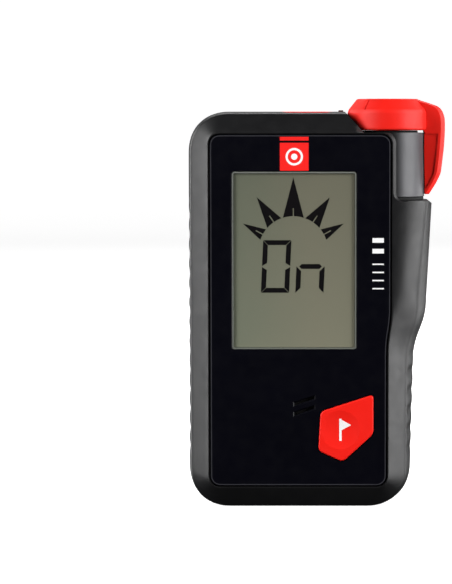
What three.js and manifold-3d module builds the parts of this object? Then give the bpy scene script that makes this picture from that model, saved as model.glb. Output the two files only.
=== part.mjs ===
// Avalanche transceiver: a hand-held rescue radio with a display, a mark button and a rotary
// mode switch. Millimetres. X runs right across the front, Y runs to the back, Z runs up.
// The origin is at the middle of the base, so the body stands on Z = 0 and faces -Y.
import * as THREE from 'three';
import { mergeVertices } from 'three/addons/utils/BufferGeometryUtils.js';
import Module from 'manifold-3d';

const wasm = await Module();
wasm.setup();

// ---- Driving dimensions ---------------------------------------------------------------------
const HEIGHT = 111;               // base to the top of the switch cap
const BODY_TOP = 107.5;           // top of the case
const LEFT = -35;                 // left side of the case at the seam
const HALF_DEPTH = 11.5;          // front and back faces
const EDGE_DEPTH = 8;             // depth where the side wall turns into the bezel
const SEAM_GAP = 0.05;            // each shell stops this far short of the seam plane
const GAP = 0.15;                 // clearance round an inserted piece

const GRIP_FOOT = { x: 25.7, z: 10.5 };
const GRIP_TOP = { x: 26.5, z: 39.5 };
const COLUMN_FOOT = { x: 30, z: 56.5 };
const COLUMN_TOP_X = 32.75;       // right side of the switch column, carried up to the top

const PLATE = { left: -28.9, right: 20, lowRight: 18.9, bottom: 6.1, top: 101.3, radius: 2.8 };
const PLATE_GAP = 0.35;
const PLATE_FRONT = 11.3;         // depths below are distances forward of the seam plane
const PLATE_BACK = 10.1;
const POCKET_FLOOR = 9.9;
const FLOOR_BACK = 8.8;
const WINDOW = { left: -22.93, right: 10.74, bottom: 43.28, top: 91.35 };

const AXIS_X = 19.3;              // mode switch axis, which runs along Z at Y = 0
const SEAT_Z = 101.8;             // top of the column under the cap
const SEAT_RADIUS = 11.4;
const CAP_RADIUS = 10.9;
const CAP_TOP_RADIUS = 8.5;
const CAP_BOTTOM = 102.4;
const CAP_FOLD = 107.7;
const DISC_RADIUS = 5.7;
const RECESS_RADIUS = 10.1;       // column where the lever sweeps round it
const RECESS_FLOOR = 84.4;
const LEDGE_Z = 83.3;
const RECESS_WALL_X = 20.75;
const SEAT_EDGE_X = 12.7;         // where the case rises beside the seat
const CASE_EDGE_X = 7.6;          // the same slanted edge at the top of the case
const PAST = { x: 40, y: 13, z: 120 };   // cutters run on to here, clear of the whole case
const LEVER_HALF_WIDTH = 3.35;
const LEVER_TIP = 85;
const CHAMBER_RADIUS = 8.7;       // detent chamber inside the column
const SHAFT_RADIUS = 3.1;
const SHAFT_BORE = 4.6;

const BUTTON = [[15.35, 31.05], [15.38, 20.25], [7, 12.6], [0.4, 15.65], [1, 26.4]];
const BUTTON_CENTRE = [6.4, 21.4];
const BUTTON_TRAVEL_ROOM = 0.6;
const SLOT_LENGTH = 6.3;
const SLOT_WIDTH = 0.65;
const SLOT_TILT = THREE.MathUtils.degToRad(20);
const SLOT_CENTRES = [[-3.4, 29.25], [-3.4, 26.6]];

const BATTERY = { radius: 7.05, left: -28.6, right: 20.9, y: 2.6, z: 14.4 };
const TUB = { left: -31.5, right: 21.7, bottom: 7, top: 21.8, floor: -4.7, wall: 0.7 };
const DOOR = { left: -30.5, right: 21.3, bottom: 4.6, top: 25, inner: 10.15, outer: 11.4 };
const DOOR_TAB = { x: -4.6, z: 25.5, radius: 4.5 };
const DOOR_OPENING = { left: -29.2, right: 20.3 };

const CASE_SCREWS = [[-27.8, 100.3], [3.6, 101], [21.4, 66], [19.2, 30.6], [-28.4, 27.8]];
const HEX = { left: -10.6, right: 5.25, halfWidth: 5.5, bottom: 106.2 };

const COLOURS = {
  shell: 0x2b2b2e, red: 0xc8281e, black: 0x0b0b0f, clear: 0xaab2ac, lcd: 0x74796a, board: 0x1f5a35,
  metal: 0xb9bcc0, brass: 0xb08d3c, copper: 0xa8592a, ferrite: 0x2f2d2c, rubber: 0x1c1c1d, white: 0xe6e6e2,
  grey: 0x4a4a4e, cell: 0x3a4c8c,
};

// ---- Solids ---------------------------------------------------------------------------------
// A closed three.js geometry becomes a solid once its vertices are shared.
function solid(geometry) {
  const bare = geometry.clone();
  for (const name of ['normal', 'uv', 'color']) bare.deleteAttribute(name);
  const merged = mergeVertices(bare, 1e-4);
  return new wasm.Manifold(new wasm.Mesh({
    numProp: 3,
    vertProperties: new Float32Array(merged.attributes.position.array),
    triVerts: new Uint32Array(merged.index.array),
  }));
}

function geometryOf(body) {
  const { numProp, vertProperties, triVerts } = body.getMesh();
  const positions = new Float32Array((vertProperties.length / numProp) * 3);
  for (let i = 0; i < positions.length / 3; i += 1) {
    for (let k = 0; k < 3; k += 1) positions[3 * i + k] = vertProperties[numProp * i + k];
  }
  const geometry = new THREE.BufferGeometry();
  geometry.setAttribute('position', new THREE.BufferAttribute(positions, 3));
  geometry.setIndex(new THREE.BufferAttribute(new Uint32Array(triVerts), 1));
  return geometry;
}

function box(x0, x1, y0, y1, z0, z1) {
  const geometry = new THREE.BoxGeometry(x1 - x0, y1 - y0, z1 - z0);
  geometry.translate((x0 + x1) / 2, (y0 + y1) / 2, (z0 + z1) / 2);
  return solid(geometry);
}

// A shape drawn in X and Z, made solid from y0 to y1.
function plateSolid(shape, y0, y1, curveSegments = 6) {
  const geometry = new THREE.ExtrudeGeometry(shape, { depth: y1 - y0, bevelEnabled: false, curveSegments });
  geometry.rotateX(Math.PI / 2);
  geometry.translate(0, y1, 0);
  return solid(geometry);
}

// A shape drawn in X and Y, made solid from z0 to z1.
function towerSolid(shape, z0, z1, curveSegments = 6) {
  const geometry = new THREE.ExtrudeGeometry(shape, { depth: z1 - z0, bevelEnabled: false, curveSegments });
  geometry.translate(0, 0, z0);
  return solid(geometry);
}

const polygon = (points) => new THREE.Shape(points.map(([x, y]) => new THREE.Vector2(x, y)));

// Radius and height pairs, turned about an axis through (x, y, z): 'z', 'y' or 'x'.
function turned(profile, [x, y, z], axis = 'z', segments = 32) {
  const closed = [...profile, profile[0]].map(([r, h]) => new THREE.Vector2(r, h));
  const geometry = new THREE.LatheGeometry(closed, segments);
  if (axis === 'z') geometry.rotateX(Math.PI / 2);
  if (axis === 'x') geometry.rotateZ(-Math.PI / 2);
  geometry.translate(x, y, z);
  return solid(geometry);
}

const rod = (radius, h0, h1, place, axis, segments = 24) => turned(
  [[0, h0], [radius, h0], [radius, h1], [0, h1]], place, axis, segments,
);
const tube = (inner, outer, h0, h1, place, axis, segments = 24) => turned(
  [[inner, h0], [outer, h0], [outer, h1], [inner, h1]], place, axis, segments,
);

// ---- Case outlines --------------------------------------------------------------------------
// Each outline is a run of the same stretches, so that rings at different depths match point
// for point. A stretch is a line, or a curve with two control points.
const STRETCH_STEPS = {
  bottom: 2, lowRight: 8, grip: 4, waist: 8, column: 3, top: 3, topLeft: 8, left: 4, lowLeft: 8,
};

function outline(o) {
  const line = (a, b) => new THREE.LineCurve(new THREE.Vector2(...a), new THREE.Vector2(...b));
  const curve = (...p) => new THREE.CubicBezierCurve(...p.map((q) => new THREE.Vector2(...q)));
  const k = 0.6;                  // how far a corner's control points reach to the corner
  const corner = (a, c, b) => curve(a, [a[0] + (c[0] - a[0]) * k, a[1] + (c[1] - a[1]) * k],
    [b[0] + (c[0] - b[0]) * k, b[1] + (c[1] - b[1]) * k], b);
  const r = o.radius;
  const crown = o.crown;
  const waistRise = (o.columnFoot[1] - o.gripTop[1]) * 0.47;
  const stretches = {
    bottom: line([-18, o.bottom], [8, o.bottom]),
    lowRight: corner([8 + crown, o.bottom], [o.gripFoot[0], o.bottom], [o.gripFoot[0], o.bottom + r]),
    grip: line([o.gripFoot[0], o.bottom + r], o.gripTop),
    waist: curve(o.gripTop, [o.gripTop[0], o.gripTop[1] + waistRise],
      [o.columnFoot[0], o.columnFoot[1] - waistRise], o.columnFoot),
    column: line(o.columnFoot, [o.columnTopX, o.top]),
    top: line([o.columnTopX - 0.5, o.top], [o.left + r, o.top]),
    topLeft: corner([o.left + r, o.top], [o.left, o.top], [o.left, o.top - r]),
    left: line([o.left, o.top - r], [o.left, o.bottom + r]),
    lowLeft: corner([o.left, o.bottom + r], [o.left, o.bottom], [-18 - crown, o.bottom]),
  };
  return Object.entries(stretches).flatMap(([name, path]) => {
    const points = path.getPoints(STRETCH_STEPS[name]);
    return points.slice(0, -1);
  });
}

const SEAM_LINE = outline({
  bottom: 0, top: BODY_TOP, left: LEFT, radius: 11, crown: 7,
  gripFoot: [GRIP_FOOT.x], gripTop: [GRIP_TOP.x, GRIP_TOP.z],
  columnFoot: [COLUMN_FOOT.x, COLUMN_FOOT.z], columnTopX: COLUMN_TOP_X,
});
const EDGE_LINE = outline({
  bottom: 0, top: BODY_TOP - 0.5, left: LEFT + 0.7, radius: 10.5, crown: 5.5,
  gripFoot: [GRIP_FOOT.x - 1.5], gripTop: [GRIP_TOP.x - 2.2, GRIP_TOP.z],
  columnFoot: [COLUMN_FOOT.x - 2.7, COLUMN_FOOT.z], columnTopX: COLUMN_TOP_X - 0.55,
});
const FACE_LINE = outline({
  bottom: PLATE.bottom - PLATE_GAP, top: PLATE.top + PLATE_GAP + 0.6, left: PLATE.left - PLATE_GAP,
  radius: PLATE.radius, crown: 8.4,
  gripFoot: [PLATE.lowRight + PLATE_GAP], gripTop: [PLATE.lowRight + PLATE_GAP, 41.5],
  columnFoot: [PLATE.right + PLATE_GAP, 55], columnTopX: PLATE.right + PLATE_GAP,
});
const CAVITY_LINE = outline({
  bottom: 1.9, top: 104.8, left: LEFT + 2.2, radius: 8, crown: 6,
  gripFoot: [GRIP_FOOT.x - 2.2], gripTop: [GRIP_TOP.x - 2.4, GRIP_TOP.z],
  columnFoot: [COLUMN_FOOT.x - 2.6, COLUMN_FOOT.z], columnTopX: COLUMN_TOP_X - 3.3,
});
const CAVITY_FACE_LINE = outline({
  bottom: 3.6, top: 103.2, left: LEFT + 3.8, radius: 6, crown: 6,
  gripFoot: [21.4], gripTop: [21.4, GRIP_TOP.z],
  columnFoot: [24.6, COLUMN_FOOT.z], columnTopX: 25.6,
});

const mixed = (a, b, t) => a.map((p, i) => p.clone().lerp(b[i], t));
const REAR_FACE = mixed(EDGE_LINE, FACE_LINE, 0.4);
const ringAt = (points, y) => points.map((p) => new THREE.Vector3(p.x, y, p.y));

// Rings of matching points, joined side to side and closed at both ends.
function loft(rings) {
  const count = rings[0].length;
  const positions = rings.flat().flatMap((p) => [p.x, p.y, p.z]);
  const faces = [];
  for (let level = 0; level < rings.length - 1; level += 1) {
    for (let i = 0; i < count; i += 1) {
      const a = level * count + i;
      const b = level * count + ((i + 1) % count);
      faces.push([a, b, b + count], [a, b + count, a + count]);
    }
  }
  const lid = (ring) => THREE.ShapeUtils.triangulateShape(ring.map((p) => new THREE.Vector2(p.x, p.z)), []);
  const last = (rings.length - 1) * count;
  for (const [a, b, c] of lid(rings[0])) faces.push([c, b, a]);
  for (const [a, b, c] of lid(rings[rings.length - 1])) faces.push([a + last, b + last, c + last]);
  const geometry = new THREE.BufferGeometry();
  geometry.setAttribute('position', new THREE.Float32BufferAttribute(positions, 3));
  geometry.setIndex(faces.flat());
  return solid(geometry);
}

// The case's outer form in front of the seam (side = -1) or behind it (side = 1).
// The bezel leaves the edge steeply and flattens as it nears the face.
function shellForm(side, faceLine) {
  const bezelRise = (t) => 1 - (1 - t) ** 1.7;
  const bezelSteps = [0.15, 0.32, 0.52, 0.75, 1];
  const rings = [
    ringAt(SEAM_LINE, side * SEAM_GAP),
    ringAt(SEAM_LINE, side * 1.2),
    ringAt(mixed(SEAM_LINE, EDGE_LINE, 0.35), side * 5),
    ringAt(EDGE_LINE, side * EDGE_DEPTH),
    ...bezelSteps.map((t) => ringAt(
      mixed(EDGE_LINE, faceLine, t), side * (EDGE_DEPTH + (HALF_DEPTH - EDGE_DEPTH) * bezelRise(t)),
    )),
  ];
  return loft(side < 0 ? rings : rings.reverse());
}

// The hollow inside the case. It stays clear of the seat, the recess and the switch column's head.
function cavity(side, end) {
  const rings = [
    ringAt(CAVITY_LINE, -side), ringAt(CAVITY_LINE, side * 5.5), ringAt(CAVITY_FACE_LINE, side * end),
  ];
  const head = box(6.4, 40, -12, 12, 96.8, 120).add(box(16, 40, -12, 12, 81.2, 120));
  return loft(side < 0 ? rings : rings.reverse()).subtract(head);
}

// ---- Cuts shared by both shells -------------------------------------------------------------
const axisAt = (z = 0) => [AXIS_X, 0, z];

// The space the cap and lever need: the seat on top and the recess round the column.
function switchSpace() {
  const slope = (SEAT_EDGE_X - CASE_EDGE_X) / (BODY_TOP - SEAT_Z);
  const farEdge = SEAT_EDGE_X - slope * (PAST.z - SEAT_Z);
  const outline = [[SEAT_EDGE_X, SEAT_Z], [PAST.x, SEAT_Z], [PAST.x, PAST.z], [farEdge, PAST.z]];
  const seat = plateSolid(polygon(outline), -PAST.y, PAST.y);
  const well = rod(SEAT_RADIUS, SEAT_Z, PAST.z, axisAt(), 'z', 64);
  const wallRun = 1.1;
  const wallDepth = 9.85;
  const sweep = polygon([
    [RECESS_WALL_X, -13], [40, -13], [40, 13], [RECESS_WALL_X, 13], [RECESS_WALL_X, HALF_DEPTH],
    [RECESS_WALL_X + wallRun, wallDepth], [RECESS_WALL_X + wallRun, -wallDepth], [RECESS_WALL_X, -HALF_DEPTH],
  ]);
  const upper = towerSolid(sweep, RECESS_FLOOR, 120).subtract(rod(RECESS_RADIUS, 80, 121, axisAt(), 'z', 64));
  const groove = towerSolid(sweep, LEDGE_Z, RECESS_FLOOR + 0.01)
    .subtract(rod(RECESS_RADIUS - 0.8, 80, 121, axisAt(), 'z', 64));
  return seat.add(well).add(upper).add(groove);
}

// Shaft bore in the head of the column, with the detent chamber open to the case below it.
function switchBore() {
  return turned([[0, 78], [CHAMBER_RADIUS, 78], [CHAMBER_RADIUS, 95.5], [SHAFT_BORE, 95.5],
    [SHAFT_BORE, 110], [0, 110]], axisAt(), 'z', 40);
}

// The seam band runs from the top, round the left side and the base, and up the right side to
// the ledge under the lever. Each end can be carried past the band's own end.
function bandPath(extra) {
  const topEnd = new THREE.Vector2(-13 + extra, BODY_TOP);
  const climb = (COLUMN_TOP_X - COLUMN_FOOT.x) / (BODY_TOP - COLUMN_FOOT.z);
  const endZ = 83 + extra;
  const rightEnd = new THREE.Vector2(COLUMN_FOOT.x + (endZ - COLUMN_FOOT.z) * climb, endZ);
  const firstCorner = SEAM_LINE.findIndex((p) => p.y > BODY_TOP - 0.01 && p.x < -20);
  const leftSide = SEAM_LINE.slice(firstCorner);
  const rightSide = SEAM_LINE.slice(0, firstCorner).filter((p) => p.y < 83);
  return [topEnd, ...leftSide, ...rightSide, rightEnd];
}

// A strip of rectangular section swept along the band's path.
function bandSweep(extra, outward, depth, halfWidth) {
  const path = bandPath(extra);
  const corners = path.flatMap((p, i) => {
    const before = path[Math.max(i - 1, 0)];
    const after = path[Math.min(i + 1, path.length - 1)];
    const along = after.clone().sub(before).normalize();
    const out = new THREE.Vector2(along.y, -along.x);
    const outer = p.clone().addScaledVector(out, outward);
    const inner = p.clone().addScaledVector(out, -depth);
    return [[outer, -halfWidth], [outer, halfWidth], [inner, halfWidth], [inner, -halfWidth]]
      .map(([q, y]) => [q.x, y, q.y]);
  });
  const faces = [[0, 1, 2], [0, 2, 3]];
  const last = 4 * (path.length - 1);
  for (let i = 0; i < last; i += 4) {
    for (let k = 0; k < 4; k += 1) {
      const next = (k + 1) % 4;
      faces.push([i + k, i + 4 + k, i + 4 + next], [i + k, i + 4 + next, i + next]);
    }
  }
  faces.push([last, last + 2, last + 1], [last, last + 3, last + 2]);
  const geometry = new THREE.BufferGeometry();
  geometry.setAttribute('position', new THREE.Float32BufferAttribute(corners.flat(), 3));
  geometry.setIndex(faces.flatMap(([a, b, c]) => [a, c, b]));
  return solid(geometry);
}

const SPACE = switchSpace();
const BORE = switchBore();
const SEAM_CHANNEL = bandSweep(GAP, 0.5, 1.45, 1.05);

function hexShape(grow) {
  const { left, right, halfWidth } = HEX;
  const shoulder = 2.6;
  return polygon([
    [left - grow, 0], [left + shoulder, -halfWidth - grow], [right - shoulder, -halfWidth - grow],
    [right + grow, 0], [right - shoulder, halfWidth + grow], [left + shoulder, halfWidth + grow],
  ]);
}

const pointerShape = (grow) => polygon([
  [5.9 - grow, -1.3 - grow], [7.3 + grow, 0], [5.9 - grow, 1.3 + grow],
]);

const topPockets = () => towerSolid(hexShape(GAP), HEX.bottom - GAP, 110)
  .add(towerSolid(pointerShape(GAP), 106.6 - GAP, 110));

// ---- Faceplate outlines ---------------------------------------------------------------------
function plateShape(grow) {
  const { left, right, lowRight, bottom, top, radius } = PLATE;
  const r = radius + grow;
  const [x0, x1, xl, z0, z1] = [left - grow, right + grow, lowRight + grow, bottom - grow, top + grow];
  const shape = new THREE.Shape();
  shape.moveTo(x0 + r, z0);
  shape.lineTo(xl - r, z0);
  shape.quadraticCurveTo(xl, z0, xl, z0 + r);
  shape.lineTo(xl, 41.5);
  shape.bezierCurveTo(xl, 48, x1, 48.5, x1, 55);
  shape.lineTo(x1, z1 - r);
  shape.quadraticCurveTo(x1, z1, x1 - r, z1);
  shape.lineTo(x0 + r, z1);
  shape.quadraticCurveTo(x0, z1, x0, z1 - r);
  shape.lineTo(x0, z0 + r);
  shape.quadraticCurveTo(x0, z0, x0 + r, z0);
  return shape;
}

// The five-sided mark button, grown outwards and with its corners rounded off.
function buttonShape(grow, cut = 1) {
  const corners = BUTTON.map(([x, z]) => new THREE.Vector2(x, z));
  const count = corners.length;
  const moved = corners.map((p, i) => {
    const into = p.clone().sub(corners[(i + count - 1) % count]).normalize();
    const out = corners[(i + 1) % count].clone().sub(p).normalize();
    const away = into.clone().sub(out).normalize();
    const half = Math.acos(THREE.MathUtils.clamp(into.dot(out), -1, 1)) / 2;
    return p.clone().addScaledVector(away, grow / Math.cos(half));
  });
  const shape = new THREE.Shape();
  moved.forEach((p, i) => {
    const before = moved[(i + count - 1) % count].clone().sub(p).normalize();
    const after = moved[(i + 1) % count].clone().sub(p).normalize();
    const start = p.clone().addScaledVector(before, cut);
    const end = p.clone().addScaledVector(after, cut);
    if (i === 0) shape.moveTo(start.x, start.y);
    else shape.lineTo(start.x, start.y);
    shape.quadraticCurveTo(p.x, p.y, end.x, end.y);
  });
  shape.closePath();
  return shape;
}

function slotCutter([x, z], y0, y1) {
  const geometry = new THREE.BoxGeometry(SLOT_LENGTH, y1 - y0, SLOT_WIDTH);
  geometry.rotateY(-SLOT_TILT);
  geometry.translate(x, (y0 + y1) / 2, z);
  return solid(geometry);
}

// The battery tub, with its lower corners cut back to follow the case.
function tubShape(grow) {
  const { left, right, bottom, top } = TUB;
  const cut = 2.4;
  return polygon([
    [left - grow, bottom + cut], [left - grow + cut, bottom - grow], [right + grow - cut, bottom - grow],
    [right + grow, bottom + cut], [right + grow, top + grow], [left - grow, top + grow],
  ]);
}

// ---- Case -----------------------------------------------------------------------------------
function frontShell() {
  const { left, right, bottom, top } = WINDOW;
  let body = shellForm(-1, FACE_LINE).subtract(cavity(-1, FLOOR_BACK));
  for (const [x, z] of CASE_SCREWS) {
    body = body.add(rod(2.4, -FLOOR_BACK - 0.3, -SEAM_GAP, [x, 0, z], 'y', 20));
  }
  for (const [x, z] of CASE_SCREWS) body = body.subtract(rod(1.3, -6.4, 1, [x, 0, z], 'y', 16));
  return body
    .subtract(plateSolid(plateShape(PLATE_GAP), -13, -POCKET_FLOOR))
    .subtract(box(left - 1, right + 1, -13, -5, bottom - 1, top + 1))
    .subtract(plateSolid(buttonShape(0.25), -13, -5))
    .subtract(rod(3.4, -13, -5, [-3.4, 0, 27.9], 'y'))
    .subtract(SPACE).subtract(BORE).subtract(SEAM_CHANNEL).subtract(topPockets());
}

function rearShell() {
  const { left, right, bottom, top, floor, wall } = TUB;
  const form = shellForm(1, REAR_FACE);
  let body = form.subtract(cavity(1, 9.9));
  const tub = plateSolid(tubShape(wall), floor - 0.5, 10);
  const ledge = box(left - wall, 22.6, 8, 10.3, 2.6, 26.6);
  const boss = rod(3, 2, 10.2, [DOOR_TAB.x, 0, DOOR_TAB.z + 0.6], 'y');
  const tabWall = rod(DOOR_TAB.radius + 1.2, 8.4, 10.3, [DOOR_TAB.x, 0, DOOR_TAB.z], 'y', 32);
  body = body.add(tub).add(boss).add(ledge.add(tabWall).intersect(form));
  for (const [x, z] of CASE_SCREWS) body = body.add(rod(2.7, SEAM_GAP, 10.2, [x, 0, z], 'y', 20));
  for (const [x, z] of CASE_SCREWS) {
    body = body.subtract(rod(1.3, -1, 12, [x, 0, z], 'y', 16));
    body = body.subtract(rod(2.3, 9.7, PAST.y, [x, 0, z], 'y', 20));
  }
  return body
    .subtract(plateSolid(tubShape(0), floor, 8.2))
    .subtract(box(DOOR_OPENING.left, DOOR_OPENING.right, 0, 13, bottom, top))
    .subtract(doorForm(0.25, 10, 14))
    .subtract(sealRing(0.15))
    .subtract(rod(1.7, 3, 13, [DOOR_TAB.x, 0, DOOR_TAB.z + 0.6], 'y', 20))
    .subtract(box(-24.2, 14.2, 11.15, 13, 49.8, 80.2))
    .subtract(SPACE).subtract(BORE).subtract(SEAM_CHANNEL).subtract(topPockets());
}

const seamBand = () => bandSweep(0, 0, 1.25, 0.95);

function faceplate() {
  const { left, right, bottom, top } = WINDOW;
  let body = plateSolid(plateShape(0), -PLATE_FRONT, -PLATE_BACK)
    .subtract(box(left, right, -13, -5, bottom, top))
    .subtract(plateSolid(buttonShape(0.2), -13, -5));
  for (const centre of SLOT_CENTRES) body = body.subtract(slotCutter(centre, -13, -5));
  return body;
}

function displayWindow() {
  const { left, right, bottom, top } = WINDOW;
  return box(left + GAP, right - GAP, -11.1, -10.2, bottom + GAP, top - GAP);
}

function topInsert() {
  return towerSolid(hexShape(0), HEX.bottom, BODY_TOP);
}

// ---- Battery bay ----------------------------------------------------------------------------
function doorForm(grow, y0, y1) {
  const { left, right, bottom, top } = DOOR;
  const plate = box(left - grow, right + grow, y0, y1, bottom - grow, top + grow);
  return plate.add(rod(DOOR_TAB.radius + grow, y0, y1, [DOOR_TAB.x, 0, DOOR_TAB.z], 'y', 32));
}

const doorScrewPlace = [DOOR_TAB.x, 0, DOOR_TAB.z + 0.6];

// The door's corners follow the case where the back face rounds off.
function batteryDoor() {
  return doorForm(0, DOOR.inner, DOOR.outer)
    .intersect(shellForm(1, REAR_FACE))
    .subtract(rod(1.75, 5, 13, doorScrewPlace, 'y', 20))
    .subtract(rod(3.2, 10.7, 13, doorScrewPlace, 'y', 24));
}

function doorScrew() {
  const head = rod(3, 10.8, DOOR.outer, doorScrewPlace, 'y', 24);
  const shank = rod(1.4, 4, 10.9, doorScrewPlace, 'y', 16);
  const [x, , z] = doorScrewPlace;
  return head.add(shank).subtract(box(x - 2.2, x + 2.2, 11.05, 12, z - 0.45, z + 0.45));
}

function sealRing(grow) {
  const outer = box(-30.25 - grow, 21.2 + grow, 9.45 - grow, 10.05 + grow * 3, 5.3 - grow, 23.2 + grow);
  return outer.subtract(box(-29.7 + grow, 20.7 - grow, 9, 12, 6 + grow, 22.6 - grow));
}

function batteryCell() {
  const { radius, left, right, y, z } = BATTERY;
  const nub = 1;
  return turned([[0, left], [radius - 0.6, left], [radius, left + 0.6], [radius, right - nub - 0.6],
    [radius - 0.6, right - nub], [2.7, right - nub], [2.7, right], [0, right]], [0, y, z], 'x', 32);
}

// A conical coil spring that pushes on the flat end of the cell.
function batterySpring() {
  const turns = 2.5;
  const length = 1.9;
  const path = new THREE.CatmullRomCurve3(Array.from({ length: 26 }, (_, i) => {
    const t = i / 25;
    const angle = t * turns * 2 * Math.PI;
    const radius = 5 - 2.2 * t;
    return new THREE.Vector3(TUB.left + 0.5 + length * t, BATTERY.y + radius * Math.cos(angle),
      BATTERY.z + radius * Math.sin(angle));
  }));
  const wire = new THREE.Shape();
  wire.absarc(0, 0, 0.3, 0, 2 * Math.PI);
  return solid(new THREE.ExtrudeGeometry(wire, { steps: 40, extrudePath: path, curveSegments: 3 }));
}

// ---- Display and boards ---------------------------------------------------------------------
function displayFrame() {
  return box(-27, 14.8, -8.6, -6.75, 36.6, 95.4).subtract(box(-25.6, 13.4, -9, -6, 37.8, 94.2));
}

function mainBoard() {
  const board = polygon([
    [-24.5, 6.5], [15.8, 6.5], [15.8, 34], [17.5, 34], [17.5, 76], [15.4, 76], [15.4, 96.4],
    [-30.2, 96.4], [-30.2, 31.2], [-24.5, 31.2],
  ]);
  return plateSolid(board, -6.6, -5.45);
}

function markButton() {
  return plateSolid(buttonShape(0), -HALF_DEPTH, -8.5)
    .add(plateSolid(buttonShape(0.9), -8.65, -8.65 + 0.7));
}

function buttonMat() {
  const [x, z] = BUTTON_CENTRE;
  const back = 6.65;
  return plateSolid(buttonShape(0.3), -back - BUTTON_TRAVEL_ROOM + 0.05, -back)
    .subtract(rod(3.3, -9, -5, [x, 0, z], 'y'));
}

// ---- Mode switch ----------------------------------------------------------------------------
function switchCap() {
  const cap = turned([
    [SHAFT_RADIUS + 0.2, CAP_BOTTOM], [CAP_RADIUS - 0.4, CAP_BOTTOM], [CAP_RADIUS, CAP_BOTTOM + 0.4],
    [CAP_RADIUS, CAP_FOLD], [CAP_TOP_RADIUS, HEIGHT - 0.3], [CAP_TOP_RADIUS - 0.35, HEIGHT],
    [DISC_RADIUS + 0.2, HEIGHT], [DISC_RADIUS + 0.2, 110.1], [3.2, 110.1], [3.2, 108.4], [1.6, 108.4],
    [1.6, 106.3], [SHAFT_RADIUS + 0.2, 106.3],
  ], axisAt(), 'z', 64);
  const side = polygon([
    [27, HEIGHT - 0.1], [33.2, 109], [34.7, 106.6], [-LEFT, 104], [34.75, 98], [33.95, 91], [32.8, 88.2],
    [30.8, LEVER_TIP], [30.25, 86], [29.95, 94], [29.75, CAP_BOTTOM], [27, CAP_BOTTOM + 0.2],
  ]);
  const fin = plateSolid(side, -LEVER_HALF_WIDTH, LEVER_HALF_WIDTH);
  const tipHalf = 2.35;
  const taper = new THREE.Shape([[-20, 120], [-20, 80], [-tipHalf, 80], [-LEVER_HALF_WIDTH, 98],
    [-LEVER_HALF_WIDTH, 120]].map(([y, z]) => new THREE.Vector2(y, z)));
  const taperGeometry = new THREE.ExtrudeGeometry(taper, { depth: 20, bevelEnabled: false });
  taperGeometry.applyMatrix4(new THREE.Matrix4().set(0, 0, 1, 25, 1, 0, 0, 0, 0, 1, 0, 0, 0, 0, 0, 1));
  const frontTaper = solid(taperGeometry);
  const scoop = turned([[0, 0], [5, 0], [9, 14], [0, 14]], [26.2, 8.7, 101.5], 'z', 40);
  const lever = fin.subtract(frontTaper).subtract(frontTaper.mirror([0, 1, 0])).subtract(scoop);
  return cap.add(lever);
}

function detentWheel() {
  let wheel = tube(SHAFT_RADIUS + 0.15, 6.2, 88, 91, axisAt(), 'z', 48);
  for (const degrees of [120, 180, 240]) {
    const a = THREE.MathUtils.degToRad(degrees);
    wheel = wheel.subtract(rod(0.9, 87, 92, [AXIS_X + 6.5 * Math.cos(a), 6.5 * Math.sin(a), 0], 'z', 16));
  }
  return wheel;
}

function switchShaft() {
  return turned([[0, 84.6], [SHAFT_RADIUS, 84.6], [SHAFT_RADIUS, 106.1], [1.45, 106.1], [1.45, 102],
    [0, 102]], axisAt());
}

function switchScrew() {
  return turned([[0, 103], [1.25, 103], [1.25, 108.5], [3, 108.5], [3, 109.8], [0, 109.8]], axisAt());
}

function switchDisc() {
  return rod(DISC_RADIUS, 110.15, 110.85, axisAt(), 'z', 48);
}

// ---- Antennas -------------------------------------------------------------------------------
const ANTENNAS = {
  antenna_x: { axis: 'z', place: [-27.6, 3.4, 0], core: [33, 93], coil: [39, 87], radius: 3 },
  antenna_y: { axis: 'x', place: [0, 3.4, 98.6], core: [-24, 0.2], coil: [-20, -4], radius: 3 },
  antenna_z: { axis: 'y', place: [6, 0, 41], core: [-4.6, 6.6], coil: [-3.4, 5.4], radius: 3.4 },
};

function antennaHolder(z0, z1) {
  const { place, radius } = ANTENNAS.antenna_x;
  const [x, y] = place;
  return box(x - 4, x + 4, y - 4, y + 4, z0, z1).subtract(rod(radius + 0.15, z0 - 1, z1 + 1, [x, y, 0], 'z'));
}

function caseScrew([x, z]) {
  const head = turned([[0, 9.8], [2.1, 9.8], [2.1, 10.9], [1.6, 11.3], [0, 11.3]], [x, 0, z], 'y', 20);
  const shank = rod(1.1, -5.8, 9.9, [x, 0, z], 'y', 12);
  return head.add(shank).subtract(rod(1, 10.4, 12, [x, 0, z], 'y', 6));
}

// ---- Assembly -------------------------------------------------------------------------------
const group = new THREE.Group();

function piece(name, body, colour, { roughness = 0.55, metalness = 0 } = {}) {
  const geometry = geometryOf(body);
  const material = new THREE.MeshStandardMaterial({ color: COLOURS[colour], roughness, metalness });
  const mesh = new THREE.Mesh(geometry, material);
  mesh.name = name;
  group.add(mesh);
}

const METAL = { roughness: 0.35, metalness: 1 };

piece('front_shell', frontShell(), 'shell');
piece('rear_shell', rearShell(), 'shell');
piece('seam_band', seamBand(), 'red');
piece('faceplate', faceplate(), 'black', { roughness: 0.4 });
piece('display_window', displayWindow(), 'clear', { roughness: 0.08 });
piece('top_insert', topInsert(), 'red');
piece('switch_index', towerSolid(pointerShape(0), 106.6, 107.9), 'grey');
piece('rear_label', box(-24, 14, 11.25, 11.45, 50, 80), 'grey');

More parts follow.
